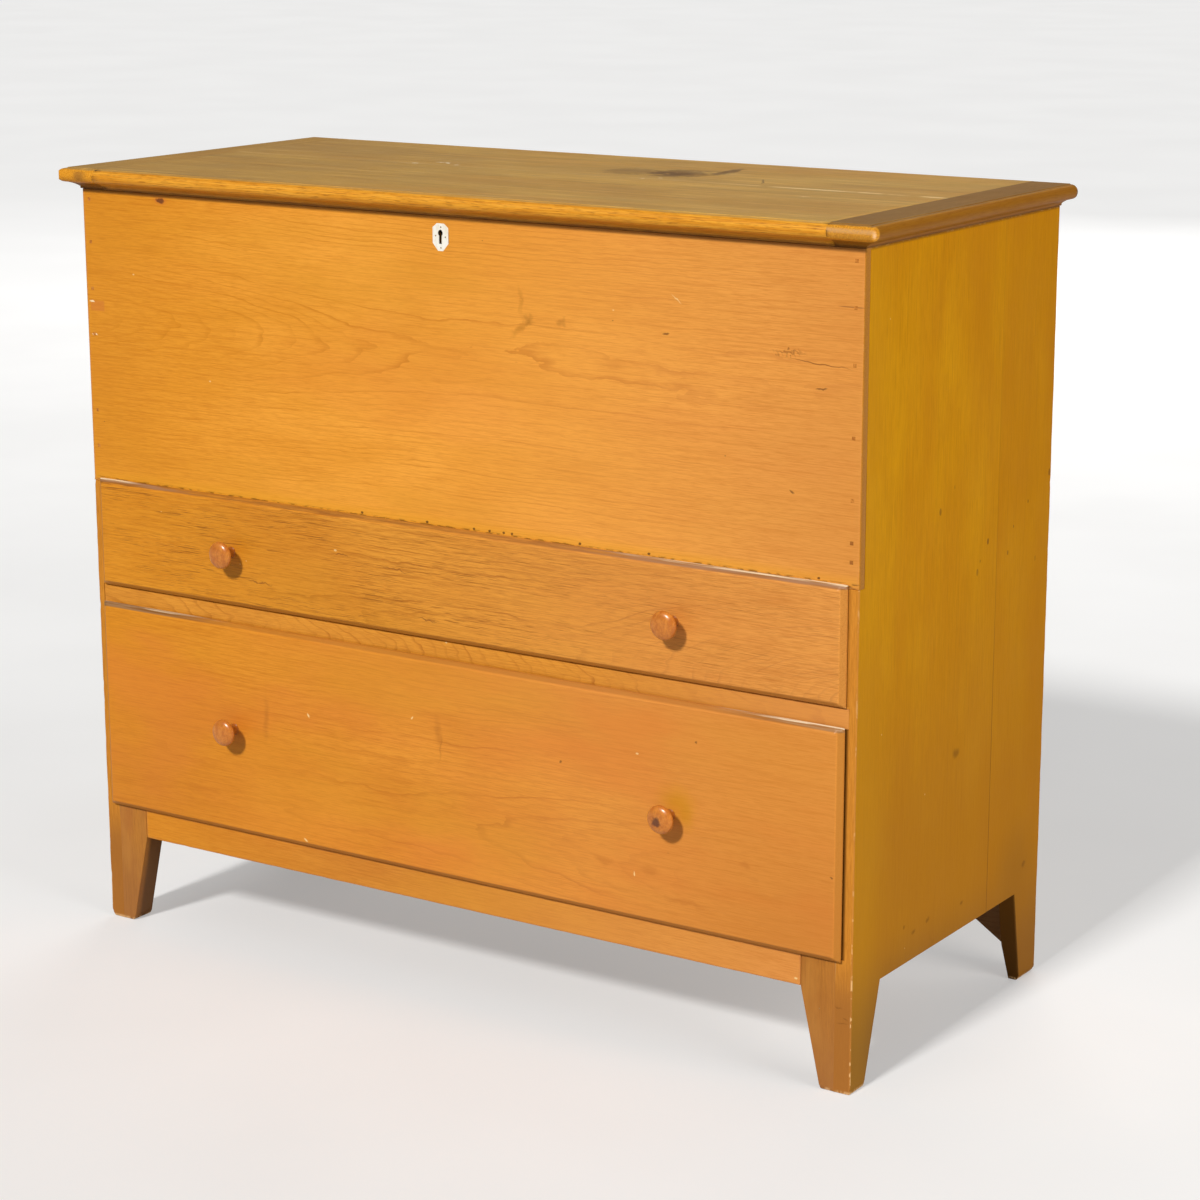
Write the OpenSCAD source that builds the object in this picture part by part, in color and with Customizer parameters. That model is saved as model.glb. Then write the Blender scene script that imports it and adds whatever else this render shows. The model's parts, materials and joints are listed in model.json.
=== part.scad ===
// Blanket chest: a lidded well over two lipped drawers, on tapered feet.
// X runs across the chest, Y from its front to its back, Z up from the floor.

/* [Case] */
// Width of the case, outside its side boards
case_w = 1041; // [900:1:1200]
// Depth of the case, from its front edge to its back
case_d = 449; // [420:1:520]
// Thickness of the side boards
side_t = 20; // [18:0.5:24]
// Width of the front one of the two boards that are glued up into a side
side_joint = 315; // [250:1:340]
// Thickness of the back boards
back_t = 14; // [12:0.5:16]
// Number of back boards
back_count = 3; // [3:1:3]
// Width of the rabbet that takes the back boards
back_rabbet = 10; // [8:0.5:12]
// Thickness of the floor of the well
well_t = 16; // [12:0.5:20]
// Depth of the dado that holds the floor of the well
dado = 6; // [4:0.5:8]

/* [Feet] */
// Height of the open space under the case
foot_h = 111; // [80:1:140]
// Width of a front foot at its top, seen from the front
foot_w_top = 62; // [50:1:80]
// Width of a front foot at the floor, seen from the front
foot_w_floor = 37; // [28:1:46]
// Depth of a front foot at its top, seen from the side
foot_d_top = 63; // [50:1:80]
// Depth of a front foot at the floor, seen from the side
foot_d_floor = 31; // [24:1:44]
// Depth of a rear foot at its top
rear_top = 62; // [50:1:80]
// Depth of a rear foot at the floor
rear_floor = 42; // [36:1:48]
// How much the inside of a rear foot is shaved off at the floor
rear_shave = 6; // [3:0.5:8]
// Height of that shaved part
rear_shave_h = 40; // [20:1:50]
// How far a rear bracket reaches in from the outside of the case
bracket_reach = 160; // [110:1:180]
// Height of a rear bracket's low end above the floor
bracket_low = 20; // [16:1:38]
// Width of the worn edge round the bottom of a rear foot
rear_wear = 3; // [1:0.5:5]
// Height of that edge
rear_wear_h = 5.5; // [2:0.5:10]
// Width of the worn outer edge under the left front foot
left_wear = 5; // [1:0.5:8]
// The same under the right front foot
right_wear = 1; // [1:0.5:8]
// Width of the worn inner edge under both front feet
inner_wear = 2; // [1:0.5:4]

/* [Front] */
// Height of the front board of the well
front_board_h = 348; // [280:1:400]
// Thickness of the front board
front_t = 20; // [19:0.5:24]
// Thickness of the part of the front board that laps over the sides
lap_t = 11; // [9:0.5:13]
// Height of the rail between the drawers
rail_h = 22.5; // [18:0.5:28]
// Depth of that rail from front to back
rail_d = 62; // [50:1:80]
// How far the rail is let into each side board
rail_let = 11; // [6:0.5:12]
// Height of the bottom rail
apron_h = 36; // [28:1:44]
// Thickness of the bottom rail
apron_t = 20; // [16:0.5:24]
// Height of the upper drawer's opening
upper_open = 126.5; // [110:0.5:150]
// Height of the lower drawer's opening
lower_open = 254; // [220:1:280]

/* [Lid] */
// Thickness of the lid
lid_t = 25; // [22:0.5:28]
// How far the lid overhangs the front and the ends
lid_over = 20.5; // [18:0.5:24]
// Height of the sloped underside of the overhang
lid_slope = 7.9; // [6:0.1:9]
// Step at the top of the rounded edge
quirk = 1; // [0.5:0.1:1.5]
// Width of the fillet where the overhang meets the case
fillet_w = 1.5; // [1:0.1:2]
// Height of that fillet
fillet_h = 2.5; // [2:0.1:3]
// Radius of the worn front corners, seen from above
lid_corner_r = 6; // [3:0.5:10]
// Width of the cleat on each end of the lid
cleat_w = 55; // [45:1:65]
// Width of the front one of the two boards of the lid
lid_joint = 262; // [220:1:300]
// Length of the tongue that the cleats grip
tongue = 12; // [8:0.5:16]
// Thickness of the tongue
tongue_t = 8; // [6:0.5:9]

/* [Drawers] */
// How far a drawer front stands proud of the case
proud = 8; // [6:0.5:10]
// Thickness of a drawer front
drawer_front_t = 22; // [21:0.5:25]
// Width of the bevel round a drawer front
bevel_w = 6; // [4:0.5:8]
// Thickness left at the edge of the lip
lip_edge = 2.5; // [1.5:0.1:3.5]
// How far a lip covers each side board
lip_side = 8; // [5:0.5:10]
// How far the upper drawer's lip covers the front board
upper_lip = 4.5; // [3:0.5:8]
// How far the lower drawer's lip covers the rail
lower_lip = 2.5; // [1.5:0.5:5]
// Thickness of the drawer sides and backs
drawer_t = 11; // [9:0.5:13]
// Thickness of the drawer bottoms
bottom_t = 8; // [6:0.5:9]
// Depth of the groove that holds a drawer bottom
groove = 5; // [3:0.5:6]
// Height of that groove above the lower edge of a drawer side
groove_up = 8; // [6:0.5:10]
// Space between a drawer's back and the back boards
drawer_back_gap = 14; // [6:1:30]
// Dovetails at each corner of the upper drawer
upper_tails = 3; // [2:1:4]
// Dovetails at each corner of the lower drawer
lower_tails = 6; // [4:1:7]
// Width of a drawer runner
runner_w = 32; // [24:1:40]
// Thickness of a drawer runner
runner_h = 22; // [18:1:22]

/* [Knobs] */
// Greatest radius of a knob
knob_r = 16; // [13:0.1:18]
// Length of a knob in front of the drawer
knob_len = 25.5; // [20:0.1:28]
// Radius of a knob's foot
knob_foot_r = 9; // [8:0.1:11]
// Radius of a knob's neck
knob_neck_r = 7; // [6:0.1:7.5]
// Radius of the tenon that holds a knob
knob_tenon_r = 5; // [4:0.1:5.5]
// Distance of a knob from the nearer end of the case
knob_in = 217.5; // [170:0.5:270]
// How far the lower pair sits to the left of the upper one
lower_knobs_left = 2.2; // [0:0.1:5]

/* [Hinges] */
// Distance of a hinge's middle from the nearer end of the case
hinge_in = 190; // [120:1:260]
// Length of a hinge
hinge_len = 62; // [50:1:76]
// Width of a hinge leaf
leaf_w = 14; // [12:0.5:14]
// Thickness of a hinge leaf
leaf_t = 2; // [1.5:0.1:2.5]
// Outer radius of a hinge knuckle
knuckle_r = 3.2; // [3:0.1:3.6]
// Radius of a hinge pin
pin_r = 1.5; // [1.2:0.1:1.8]
// Knuckles on one hinge
knuckles = 5; // [3:2:7]

/* [Lock] */
// Width of the lock's box
lock_w = 84; // [78:1:96]
// Height of the lock's box
lock_h = 46; // [42:1:54]
// Depth of the lock's box, with its back plate
lock_d = 12; // [11.5:0.5:13]
// Thickness of the lock's walls
lock_wall = 1.5; // [1.2:0.1:1.6]
// How far the back plate reaches past the box on each side
lock_flange = 8; // [7:0.5:12]
// Distance of the keyhole to the left of the middle
key_left = 1.2; // [0:0.1:3]
// Distance of the key's stem below the top of the case
key_drop = 17.5; // [17:0.5:20]
// Radius of the round part of the keyhole
key_r = 2.5; // [2:0.1:3]
// Width of the keyhole's slot
key_slot_w = 3.2; // [2.5:0.1:3.6]
// Length of the keyhole's slot below the stem
key_slot_h = 8; // [6:0.5:9]
// Width of the narrower end of the slot
key_end_w = 2; // [1.5:0.1:2.4]
// Length of that end
key_end_h = 4; // [2:0.5:5]
// Travel of the bolt
bolt_travel = 6; // [5:0.5:6]
// Distance of each staple from the middle
staple_x = 18; // [16:0.5:20]
// How far a staple hangs below the lid
staple_len = 11; // [10.5:0.1:11.5]

/* [Escutcheon] */
// Width of the escutcheon
esc_w = 21; // [18:0.5:26]
// Height of the escutcheon
esc_h = 30; // [29:0.5:32]
// Thickness of the escutcheon
esc_t = 2; // [1.5:0.1:3]

/* [Fits] */
// Gap between a drawer front's lip and the case, upper drawer
upper_gap = 0.6; // [0.4:0.1:2]
// The same gap on the lower drawer, which stands a little open
lower_gap = 2; // [1:0.1:3]
// Clearance beside a drawer
side_gap = 1.2; // [0.8:0.1:2]
// Clearance under the sides of a drawer
run_gap = 0.3; // [0.3:0.05:0.5]
// Clearance over the sides of a drawer
top_gap = 3.5; // [2:0.5:5]
// Clearance of a drawer front in its opening
face_gap = 1; // [0.8:0.1:1.4]
// Clearance between the lid and the case
lid_gap = 0.3; // [0.3:0.05:0.5]
// Clearance between neighbouring knuckles, and behind the case
knuckle_gap = 0.4; // [0.3:0.05:0.5]
// Radial clearance of pins, screws and tenons in their holes
hole_gap = 0.06; // [0.04:0.01:0.08]

/* [Hidden] */
$fn = 48;
cut = 1; // how far a cutter runs past the face it cuts
half_w = case_w / 2;
in_x = half_w - side_t; // inner face of a side board
knob_x = half_w - knob_in;
hinge_x = half_w - hinge_in;
apron_top = foot_h + apron_h;
rail_low = apron_top + lower_open;
rail_top = rail_low + rail_h;
board_low = rail_top + upper_open; // lower edge of the front board
case_top = board_low + front_board_h;
lid_low = case_top + lid_gap;
pin_out = knuckle_r + knuckle_gap; // hinge axis behind the case
reach_front = lower_gap + proud + knob_len;
reach_back = pin_out + knuckle_r;
front_y = (reach_front - case_d - reach_back) / 2;
back_y = front_y + case_d;
back_in = back_y - back_t; // inner face of the back
lap_y = front_y + lap_t;
well_y = front_y + front_t; // inner face of the front board
pin_z = (case_top + lid_low) / 2;
pin_y = back_y + pin_out;

// Worn edges
front_wear_h = 10;
inner_wear_h = 6;

// Nails
nail_head = 4;
nail_head_t = 1.5;
nail_shank = 2.6;
front_nail_len = 45;
back_nail_len = 34;
nail_in = 10; // from the outside of the case
right_nails = [13, 60, 118, 192, 256, 300, 320]; // below the top of the case
left_nails = [12, 62, 117, 171, 262, 305];
bottom_nail_len = 24;
bottom_nails = 3;

// Screws
screw_r = 1.6;
screw_head_r = 3;
screw_head_t = 1.6;
leaf_screws = 3;
leaf_screw_len = 18;
strike_screw_len = 14;
lock_screw_len = 10;

// Lid edge
nose_r = (lid_t - quirk - lid_slope) / 2;
nose_out = lid_over - nose_r;
cove_steps = 6;
cove_sag = 0.8;
tongue_in = 30; // where the tongue starts and ends, from the lid's long edges

// Lock
slot_gap = 1; // round a staple in the lock's top
top_plate = 2;
bolt_h = 3;
bolt_z = case_top - 14.5;
finger_h = 3.5;
finger_z = case_top - 9;
finger_t = 2;
finger_len = 10;
finger_root = 3;
staple_t = 2.5;
staple_w = 6;
staple_y = front_y + 14; // middle of the staples, and of the bolt
eye_w = 3;
eye_h = 4.6;
strike_w = 64;
strike_d = 16;
strike_t = 2;
strike_screw_x = 26;
ledge_in = 10;
key_pin_r = 1;

// Escutcheon
esc_z = case_top - 23.2;
esc_proud = 0.2;
esc_pin_r = 0.8;
esc_pin_len = 6;
esc_pins = [[0.7, 11], [-6.3, 1.4], [6.6, 0.4], [0.6, -11.5]]; // from the middle of the plate

// Dovetails
tail_edge = 3; // half pin beside the outer tails, and half of the pin between two
tail_slope = 1.8;
socket = 10; // depth of the front's sockets

amber = [0.84, 0.55, 0.24];
ochre = [0.72, 0.50, 0.16];
olive = [0.60, 0.49, 0.29];
flecked = [0.80, 0.52, 0.22];
pale = [0.80, 0.66, 0.44];
cherry = [0.74, 0.42, 0.16];
bone = [0.93, 0.91, 0.84];
iron = [0.24, 0.22, 0.21];
brass = [0.72, 0.56, 0.28];

// A box between its low and its high corner
module block(low, high) {
    translate(low) cube(high - low);
}

// An outline in Y and Z, run along X from x0 to x1
module along_x(x0, x1) {
    translate([x0, 0, 0]) rotate([90, 0, 90]) linear_extrude(x1 - x0) children();
}

// An outline in X and Z, run along Y from y0 to y1
module along_y(y0, y1) {
    translate([0, y1, 0]) rotate([90, 0, 0]) linear_extrude(y1 - y0) children();
}

// What the right hand has, for the left hand
module left() {
    mirror([1, 0, 0]) children();
}

// A cut nail from its head at the origin along +Y; over takes its hole out past the face
module nail(len, over = 0) {
    block([-nail_head / 2, -over, -nail_head / 2], [nail_head / 2, nail_head_t, nail_head / 2]);
    block([-nail_shank / 2, 0, -nail_shank / 2], [nail_shank / 2, len, nail_shank / 2]);
}

// A countersunk screw from its head at the origin along +Z
module screw(len, gap = 0) {
    cylinder(h = screw_head_t, r1 = screw_head_r + gap, r2 = screw_r + gap);
    cylinder(h = len, r = screw_r + gap);
}

// Its hole, which runs out past the face
module screw_hole(len) {
    screw(len, hole_gap);
    translate([0, 0, -cut]) cylinder(h = cut, r = screw_head_r + hole_gap);
}

// Case

module side_outline() {
    polygon([
        [front_y, 0], [front_y + foot_d_floor, 0], [front_y + foot_d_top, foot_h],
        [back_y - rear_top, foot_h], [back_y - rear_floor, 0], [back_y, 0],
        [back_y, case_top], [front_y, case_top]
    ]);
}

// Takes a worn edge, out wide and up high, off the lower corner of an outline at x
module worn_corner(x, out, up) {
    polygon([[x - out, -cut], [x - out, 0], [x, up], [x + cut, up], [x + cut, -cut]]);
}

module right_side(nail_drops, wear) {
    difference() {
        along_x(in_x, half_w) side_outline();
        block([in_x - cut, front_y - cut, board_low], [half_w + cut, lap_y, case_top + cut]);
        block([in_x - cut, front_y - cut, rail_low], [in_x + rail_let, front_y + rail_d, rail_top]);
        block([in_x - cut, well_y, board_low], [in_x + dado, back_in, board_low + well_t]);
        block([in_x - cut, back_in, bracket_low], [in_x + back_rabbet, back_y + cut, case_top + cut]);
        along_y(back_y - rear_top, back_y + cut)
            polygon([
                [in_x - cut, -cut], [in_x + rear_shave, -cut], [in_x + rear_shave, 0],
                [in_x, rear_shave_h], [in_x - cut, rear_shave_h]
            ]);
        along_y(front_y - cut, front_y + side_joint) worn_corner(half_w, wear, front_wear_h);
        along_y(front_y + side_joint, back_y + cut) worn_corner(half_w, rear_wear, rear_wear_h);
        along_x(in_x - cut, half_w + cut) worn_corner(back_y, rear_wear, rear_wear_h);
        front_nail_row(nail_drops, cut);
        back_nail_column(cut);
    }
}

module left_side_front() {
    left() right_side_front(left_nails, left_wear);
}

module left_side_rear() {
    left() right_side_rear(left_nails, left_wear);
}

module side_front_part() {
    block([0, front_y - cut, -cut], [half_w + cut, front_y + side_joint, case_top + cut]);
}

module right_side_front(nail_drops, wear) {
    intersection() {
        right_side(nail_drops, wear);
        side_front_part();
    }
}

module right_side_rear(nail_drops, wear) {
    difference() {
        right_side(nail_drops, wear);
        side_front_part();
    }
}

module front_nail_row(nail_drops, over = 0) {
    for (drop = nail_drops)
        translate([half_w - nail_in, front_y, case_top - drop]) nail(front_nail_len, over);
}

module front_nails() {
    color(iron) {
        front_nail_row(right_nails);
        left() front_nail_row(left_nails);
    }
}

// Heights of the nails in the back boards and in the brackets
back_step = (case_top - foot_h) / back_count;
bracket_nails = [rear_shave_h + nail_head, foot_h - 4 * nail_head];
board_nails = [for (i = [0 : back_count - 1]) for (f = [0.2, 0.8]) foot_h + (i + f) * back_step];

module back_nail_column(over = 0) {
    for (z = concat(bracket_nails, board_nails))
        translate([in_x + back_rabbet / 2, back_y, z]) mirror([0, 1, 0]) nail(back_nail_len, over);
}

module back_nails() {
    color(iron) {
        back_nail_column();
        left() back_nail_column();
    }
}

module front_board() {
    color(amber) difference() {
        union() {
            block([-half_w, front_y, board_low], [half_w, lap_y, case_top]);
            block([-in_x, front_y, board_low], [in_x, well_y, case_top]);
        }
        lock_body_space();
        translate([0, front_y - cut, 0]) along_y(0, front_t) keyhole_outline();
        along_y(front_y - cut, front_y + esc_t - esc_proud) escutcheon_outline();
        escutcheon_pin_holes();
        lock_screw_places() screw_hole(lock_screw_len);
        front_nail_row(right_nails, cut);
        left() front_nail_row(left_nails, cut);
    }
}

module well_floor() {
    color(pale) block([-in_x - dado, well_y, board_low], [in_x + dado, back_in, board_low + well_t]);
}

// One back board, counted from the lowest
module back_board(i) {
    color(pale) difference() {
        block(
            [-in_x - back_rabbet, back_in, foot_h + i * back_step],
            [in_x + back_rabbet, back_y, foot_h + (i + 1) * back_step]
        );
        back_nail_column(cut);
        left() back_nail_column(cut);
        both_hinges() case_leaf_space();
        case_screw_places() screw_hole(leaf_screw_len);
    }
}

module drawer_rail() {
    color(amber) block(
        [-in_x - rail_let, front_y, rail_low],
        [in_x + rail_let, front_y + rail_d, rail_top]
    );
}

foot_in = half_w - foot_w_top; // inner edge of a front foot at its top

module bottom_rail() {
    color(amber) block([-foot_in, front_y, foot_h], [foot_in, front_y + apron_t, apron_top]);
}

module foot_block() {
    inner = half_w - foot_w_floor;
    lean = (inner - foot_in) / foot_h;
    color(amber)
        along_y(front_y, front_y + foot_d_floor)
            polygon([
                [in_x, 0], [in_x, apron_top], [foot_in, apron_top], [foot_in, foot_h],
                [inner - lean * inner_wear_h, inner_wear_h], [inner + inner_wear, 0]
            ]);
}

module rear_bracket() {
    color(pale) difference() {
        along_y(back_in, back_y)
            polygon([
                [in_x + back_rabbet, foot_h], [half_w - bracket_reach, foot_h],
                [in_x, bracket_low], [in_x + back_rabbet, bracket_low]
            ]);
        back_nail_column(cut);
    }
}

module upper_runner() {
    color(pale) block([in_x - runner_w, front_y + rail_d, rail_top - runner_h], [in_x, back_in, rail_top]);
}

module lower_runner() {
    color(pale) block(
        [in_x - runner_w, front_y + foot_d_floor, apron_top - runner_h],
        [in_x, back_in, apron_top]
    );
}

// Lock and escutcheon

module keyhole_outline() {
    translate([-key_left, case_top - key_drop]) {
        circle(key_r);
        translate([-key_slot_w / 2, -key_slot_h]) square([key_slot_w, key_slot_h]);
        translate([-key_end_w / 2, -key_slot_h - key_end_h]) square([key_end_w, key_slot_h + key_end_h]);
    }
}

module escutcheon_outline() {
    top_x = 0.45 * esc_w / 2;
    low_x = 0.32 * esc_w / 2;
    translate([-key_left, esc_z])
        polygon([
            [-top_x, esc_h / 2], [top_x, esc_h / 2], [esc_w / 2, 0.35 * esc_h],
            [esc_w / 2, -0.22 * esc_h], [low_x, -esc_h / 2], [-low_x, -esc_h / 2],
            [-esc_w / 2, -0.22 * esc_h], [-esc_w / 2, 0.35 * esc_h]
        ]);
}

module escutcheon_pin_places() {
    for (p = esc_pins)
        translate([p.x - key_left, front_y - esc_proud, esc_z + p.y]) rotate([-90, 0, 0]) children();
}

module escutcheon_pin_holes() {
    escutcheon_pin_places()
        translate([0, 0, -cut]) cylinder(h = cut + esc_pin_len, r = esc_pin_r + hole_gap);
}

module escutcheon() {
    color(bone) difference() {
        along_y(front_y - esc_proud, front_y + esc_t - esc_proud) escutcheon_outline();
        along_y(front_y - cut, front_y + esc_t + cut) keyhole_outline();
        escutcheon_pin_holes();
    }
}

module escutcheon_pins() {
    color(brass) escutcheon_pin_places() cylinder(h = esc_pin_len, r = esc_pin_r);
}

lock_y = well_y - lock_d; // front of the lock's box
plate_y = well_y - leaf_t; // front of its back plate
lock_half = lock_w / 2;
plate_half = lock_half + lock_flange;

module lock_body_space() {
    block([-lock_half, lock_y, case_top - lock_h], [lock_half, well_y + cut, case_top + cut]);
    block([-plate_half, plate_y, case_top - lock_h], [plate_half, well_y + cut, case_top + cut]);
}

module lock_screw_places() {
    for (x = [-1, 1], z = [0.25, 0.75])
        translate([x * (lock_half + lock_flange / 2), well_y, case_top - z * lock_h])
            rotate([90, 0, 0]) children();
}

module lock_screws() {
    color(iron) lock_screw_places() screw(lock_screw_len);
}

module lock_case() {
    inner_half = lock_half - lock_wall;
    floor_z = case_top - lock_h + lock_wall;
    color(iron) difference() {
        union() {
            difference() {
                union() {
                    block([-lock_half, lock_y, case_top - lock_h], [lock_half, well_y, case_top]);
                    block([-plate_half, plate_y, case_top - lock_h], [plate_half, well_y, case_top]);
                }
                block(
                    [-inner_half, lock_y + lock_wall, floor_z],
                    [inner_half, plate_y, case_top - top_plate]
                );
            }
            for (s = [0, 1])
                mirror([s, 0, 0])
                    block(
                        [ledge_in, staple_y - staple_w / 2, floor_z],
                        [inner_half, plate_y, bolt_z - run_gap]
                    );
            translate([-key_left, lock_y + lock_wall, case_top - key_drop])
                rotate([-90, 0, 0]) cylinder(h = plate_y - lock_y - lock_wall, r = key_pin_r);
        }
        along_y(lock_y - cut, lock_y + lock_wall + cut) keyhole_outline();
        for (s = [-1, 1])
            translate([s * staple_x, 0, 0])
                block(
                    [-slot_gap, staple_y - staple_w / 2 - slot_gap, case_top - top_plate - cut],
                    [staple_t + slot_gap, staple_y + staple_w / 2 + slot_gap, case_top + cut]
                );
        lock_screw_places() screw_hole(lock_screw_len);
    }
}

module lock_bolt() {
    left_end = -staple_x - slot_gap - finger_len - finger_root;
    color(brass) {
        block(
            [left_end, staple_y - eye_w / 2, bolt_z],
            [lock_half - lock_wall - bolt_travel - slot_gap, staple_y + eye_w / 2, bolt_z + bolt_h]
        );
        for (s = [-1, 1])
            translate([s * staple_x - slot_gap, 0, 0]) {
                block(
                    [-finger_len - finger_root, staple_y - finger_t / 2, bolt_z],
                    [-finger_len, staple_y + finger_t / 2, finger_z + finger_h]
                );
                block(
                    [-finger_len - finger_root, staple_y - finger_t / 2, finger_z],
                    [0, staple_y + finger_t / 2, finger_z + finger_h]
                );
            }
    }
}

module strike_body(over = 0) {
    block(
        [-strike_w / 2, staple_y - strike_d / 2, lid_low - over],
        [strike_w / 2, staple_y + strike_d / 2, lid_low + strike_t]
    );
}

module strike_screw_places() {
    for (s = [-1, 1]) translate([s * strike_screw_x, staple_y, lid_low]) children();
}

module strike_plate() {
    eye_z = finger_z + finger_h / 2 - eye_h / 2;
    color(iron) difference() {
        union() {
            strike_body();
            for (s = [-1, 1])
                translate([s * staple_x, 0, 0])
                    block(
                        [0, staple_y - staple_w / 2, lid_low - staple_len],
                        [staple_t, staple_y + staple_w / 2, lid_low]
                    );
        }
        for (s = [-1, 1])
            translate([s * staple_x, 0, 0])
                block(
                    [-cut, staple_y - eye_w / 2, eye_z],
                    [staple_t + cut, staple_y + eye_w / 2, eye_z + eye_h]
                );
        strike_screw_places() screw_hole(strike_screw_len);
    }
}

module strike_screws() {
    color(iron) strike_screw_places() screw(strike_screw_len);
}

// Hinges

module both_hinges() {
    for (s = [-1, 1]) translate([s * hinge_x, 0, 0]) children();
}

module case_leaf_space() {
    block(
        [-hinge_len / 2, back_y - leaf_w, case_top - leaf_t],
        [hinge_len / 2, back_y + cut, case_top + cut]
    );
}

module lid_leaf_space() {
    block([-hinge_len / 2, back_y - leaf_w, lid_low - cut], [hinge_len / 2, back_y + cut, lid_low + leaf_t]);
}

knuckle_len = hinge_len / knuckles;

// One hinge leaf; first is the number of its first knuckle
module hinge_leaf(z0, first) {
    difference() {
        union() {
            block([-hinge_len / 2, back_y - leaf_w, z0], [hinge_len / 2, back_y, z0 + leaf_t]);
            for (i = [first : 2 : knuckles - 1])
                translate([-hinge_len / 2 + i * knuckle_len + knuckle_gap / 2, 0, 0]) {
                    block([0, back_y - cut, z0], [knuckle_len - knuckle_gap, pin_y, z0 + leaf_t]);
                    translate([0, pin_y, pin_z])
                        rotate([0, 90, 0]) cylinder(h = knuckle_len - knuckle_gap, r = knuckle_r);
                }
        }
        translate([-hinge_len / 2 - cut, pin_y, pin_z])
            rotate([0, 90, 0]) cylinder(h = hinge_len + 2 * cut, r = pin_r + hole_gap);
    }
}

module leaf_screw_row() {
    for (i = [0 : leaf_screws - 1])
        translate([((i + 0.5) / leaf_screws - 0.5) * hinge_len, back_y - leaf_w / 2, 0]) children();
}

module case_screw_places() {
    both_hinges() leaf_screw_row() translate([0, 0, case_top]) mirror([0, 0, 1]) children();
}

module lid_screw_places() {
    both_hinges() leaf_screw_row() translate([0, 0, lid_low]) children();
}

module case_leaf(s) {
    color(iron) difference() {
        translate([s * hinge_x, 0, 0]) hinge_leaf(case_top - leaf_t, 0);
        case_screw_places() screw_hole(leaf_screw_len);
    }
}

module lid_leaf(s) {
    color(iron) difference() {
        translate([s * hinge_x, 0, 0]) hinge_leaf(lid_low, 1);
        lid_screw_places() screw_hole(leaf_screw_len);
    }
}

module hinge_pin(s) {
    color(iron) translate([s * hinge_x - hinge_len / 2, pin_y, pin_z])
        rotate([0, 90, 0]) cylinder(h = hinge_len, r = pin_r);
}

module case_hinge_screws() {
    color(iron) case_screw_places() screw(leaf_screw_len);
}

module lid_hinge_screws() {
    color(iron) lid_screw_places() screw(leaf_screw_len);
}

// Lid

// A shallow hollow under the overhang, from the fillet out to the rounded edge
cove = [
    for (i = [0 : cove_steps])
        let (f = i / cove_steps, bow = 4 * f * (1 - f) * cove_sag)
        [fillet_w + f * (nose_out - fillet_w), fillet_h + f * (lid_slope - fillet_h) + bow]
];

// Section of an overhanging edge: X runs outwards from the case, Y up from the lid's underside
module lid_edge(inward) {
    polygon(concat(
        [[-inward, 0], [fillet_w, 0]], cove,
        [
            [nose_out, lid_t - quirk], [nose_out - quirk, lid_t - quirk],
            [nose_out - quirk, lid_t], [-inward, lid_t]
        ]
    ));
    translate([nose_out, lid_slope + nose_r]) circle(nose_r);
}

module lid_outline() {
    r = lid_corner_r;
    translate([-nose_x, nose_y + r]) square([2 * nose_x, back_y - nose_y - r]);
    translate([r - nose_x, nose_y]) square([2 * (nose_x - r), back_y - nose_y]);
    for (s = [-1, 1]) translate([s * (nose_x - r), nose_y + r]) circle(r);
}

module lid_blank() {
    intersection() {
        translate([0, 0, lid_low]) linear_extrude(lid_t) lid_outline();
        along_x(-half_w - lid_over, half_w + lid_over)
            translate([front_y, lid_low]) mirror([1, 0]) lid_edge(case_d);
        along_y(front_y - lid_over, back_y)
            union() {
                translate([half_w, lid_low]) lid_edge(case_w / 2);
                translate([-half_w, lid_low]) mirror([1, 0]) lid_edge(case_w / 2);
            }
    }
}

nose_x = half_w + lid_over;
nose_y = front_y - lid_over;
cleat_x = nose_x - cleat_w; // where the boards meet the cleats
joint_y = nose_y + lid_joint; // where the two boards meet

module lid_board_part(y0, y1) {
    block([-cleat_x, y0, lid_low - cut], [cleat_x, y1, lid_low + lid_t + cut]);
}

module lid_tongues() {
    mid_z = lid_low + lid_t / 2;
    block(
        [-cleat_x - tongue, nose_y + tongue_in, mid_z - tongue_t / 2],
        [cleat_x + tongue, back_y - tongue_in, mid_z + tongue_t / 2]
    );
}

module lid_board(y0, y1) {
    color(olive) difference() {
        union() {
            intersection() {
                lid_blank();
                lid_board_part(y0, y1);
            }
            intersection() {
                lid_tongues();
                block([-nose_x, y0, lid_low], [nose_x, y1, lid_low + lid_t]);
            }
        }
        strike_body(cut);
        strike_screw_places() screw_hole(strike_screw_len);
        both_hinges() lid_leaf_space();
        lid_screw_places() screw_hole(leaf_screw_len);
    }
}

module lid_cleat() {
    color(olive) difference() {
        intersection() {
            lid_blank();
            block(
                [cleat_x, nose_y - cut, lid_low - cut],
                [nose_x + cut, back_y + cut, lid_low + lid_t + cut]
            );
        }
        lid_tongues();
    }
}

// Drawers. low is the bottom of the opening, h its height, and gap the lip's distance from the case.

box_x = in_x - side_gap; // outside of a drawer's sides
rear_y = back_in - drawer_back_gap; // back of a drawer

function side_low(low) = low + run_gap;
function side_h(h) = h - run_gap - top_gap;
function face_y(gap) = front_y - gap - proud;
function inner_y(gap) = face_y(gap) + drawer_front_t;

module bottom_panel(low, gap, over = 0) {
    z = side_low(low) + groove_up;
    block(
        [-box_x + drawer_t - groove, inner_y(gap) - groove, z],
        [box_x - drawer_t + groove, rear_y + over, z + bottom_t]
    );
}

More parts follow.
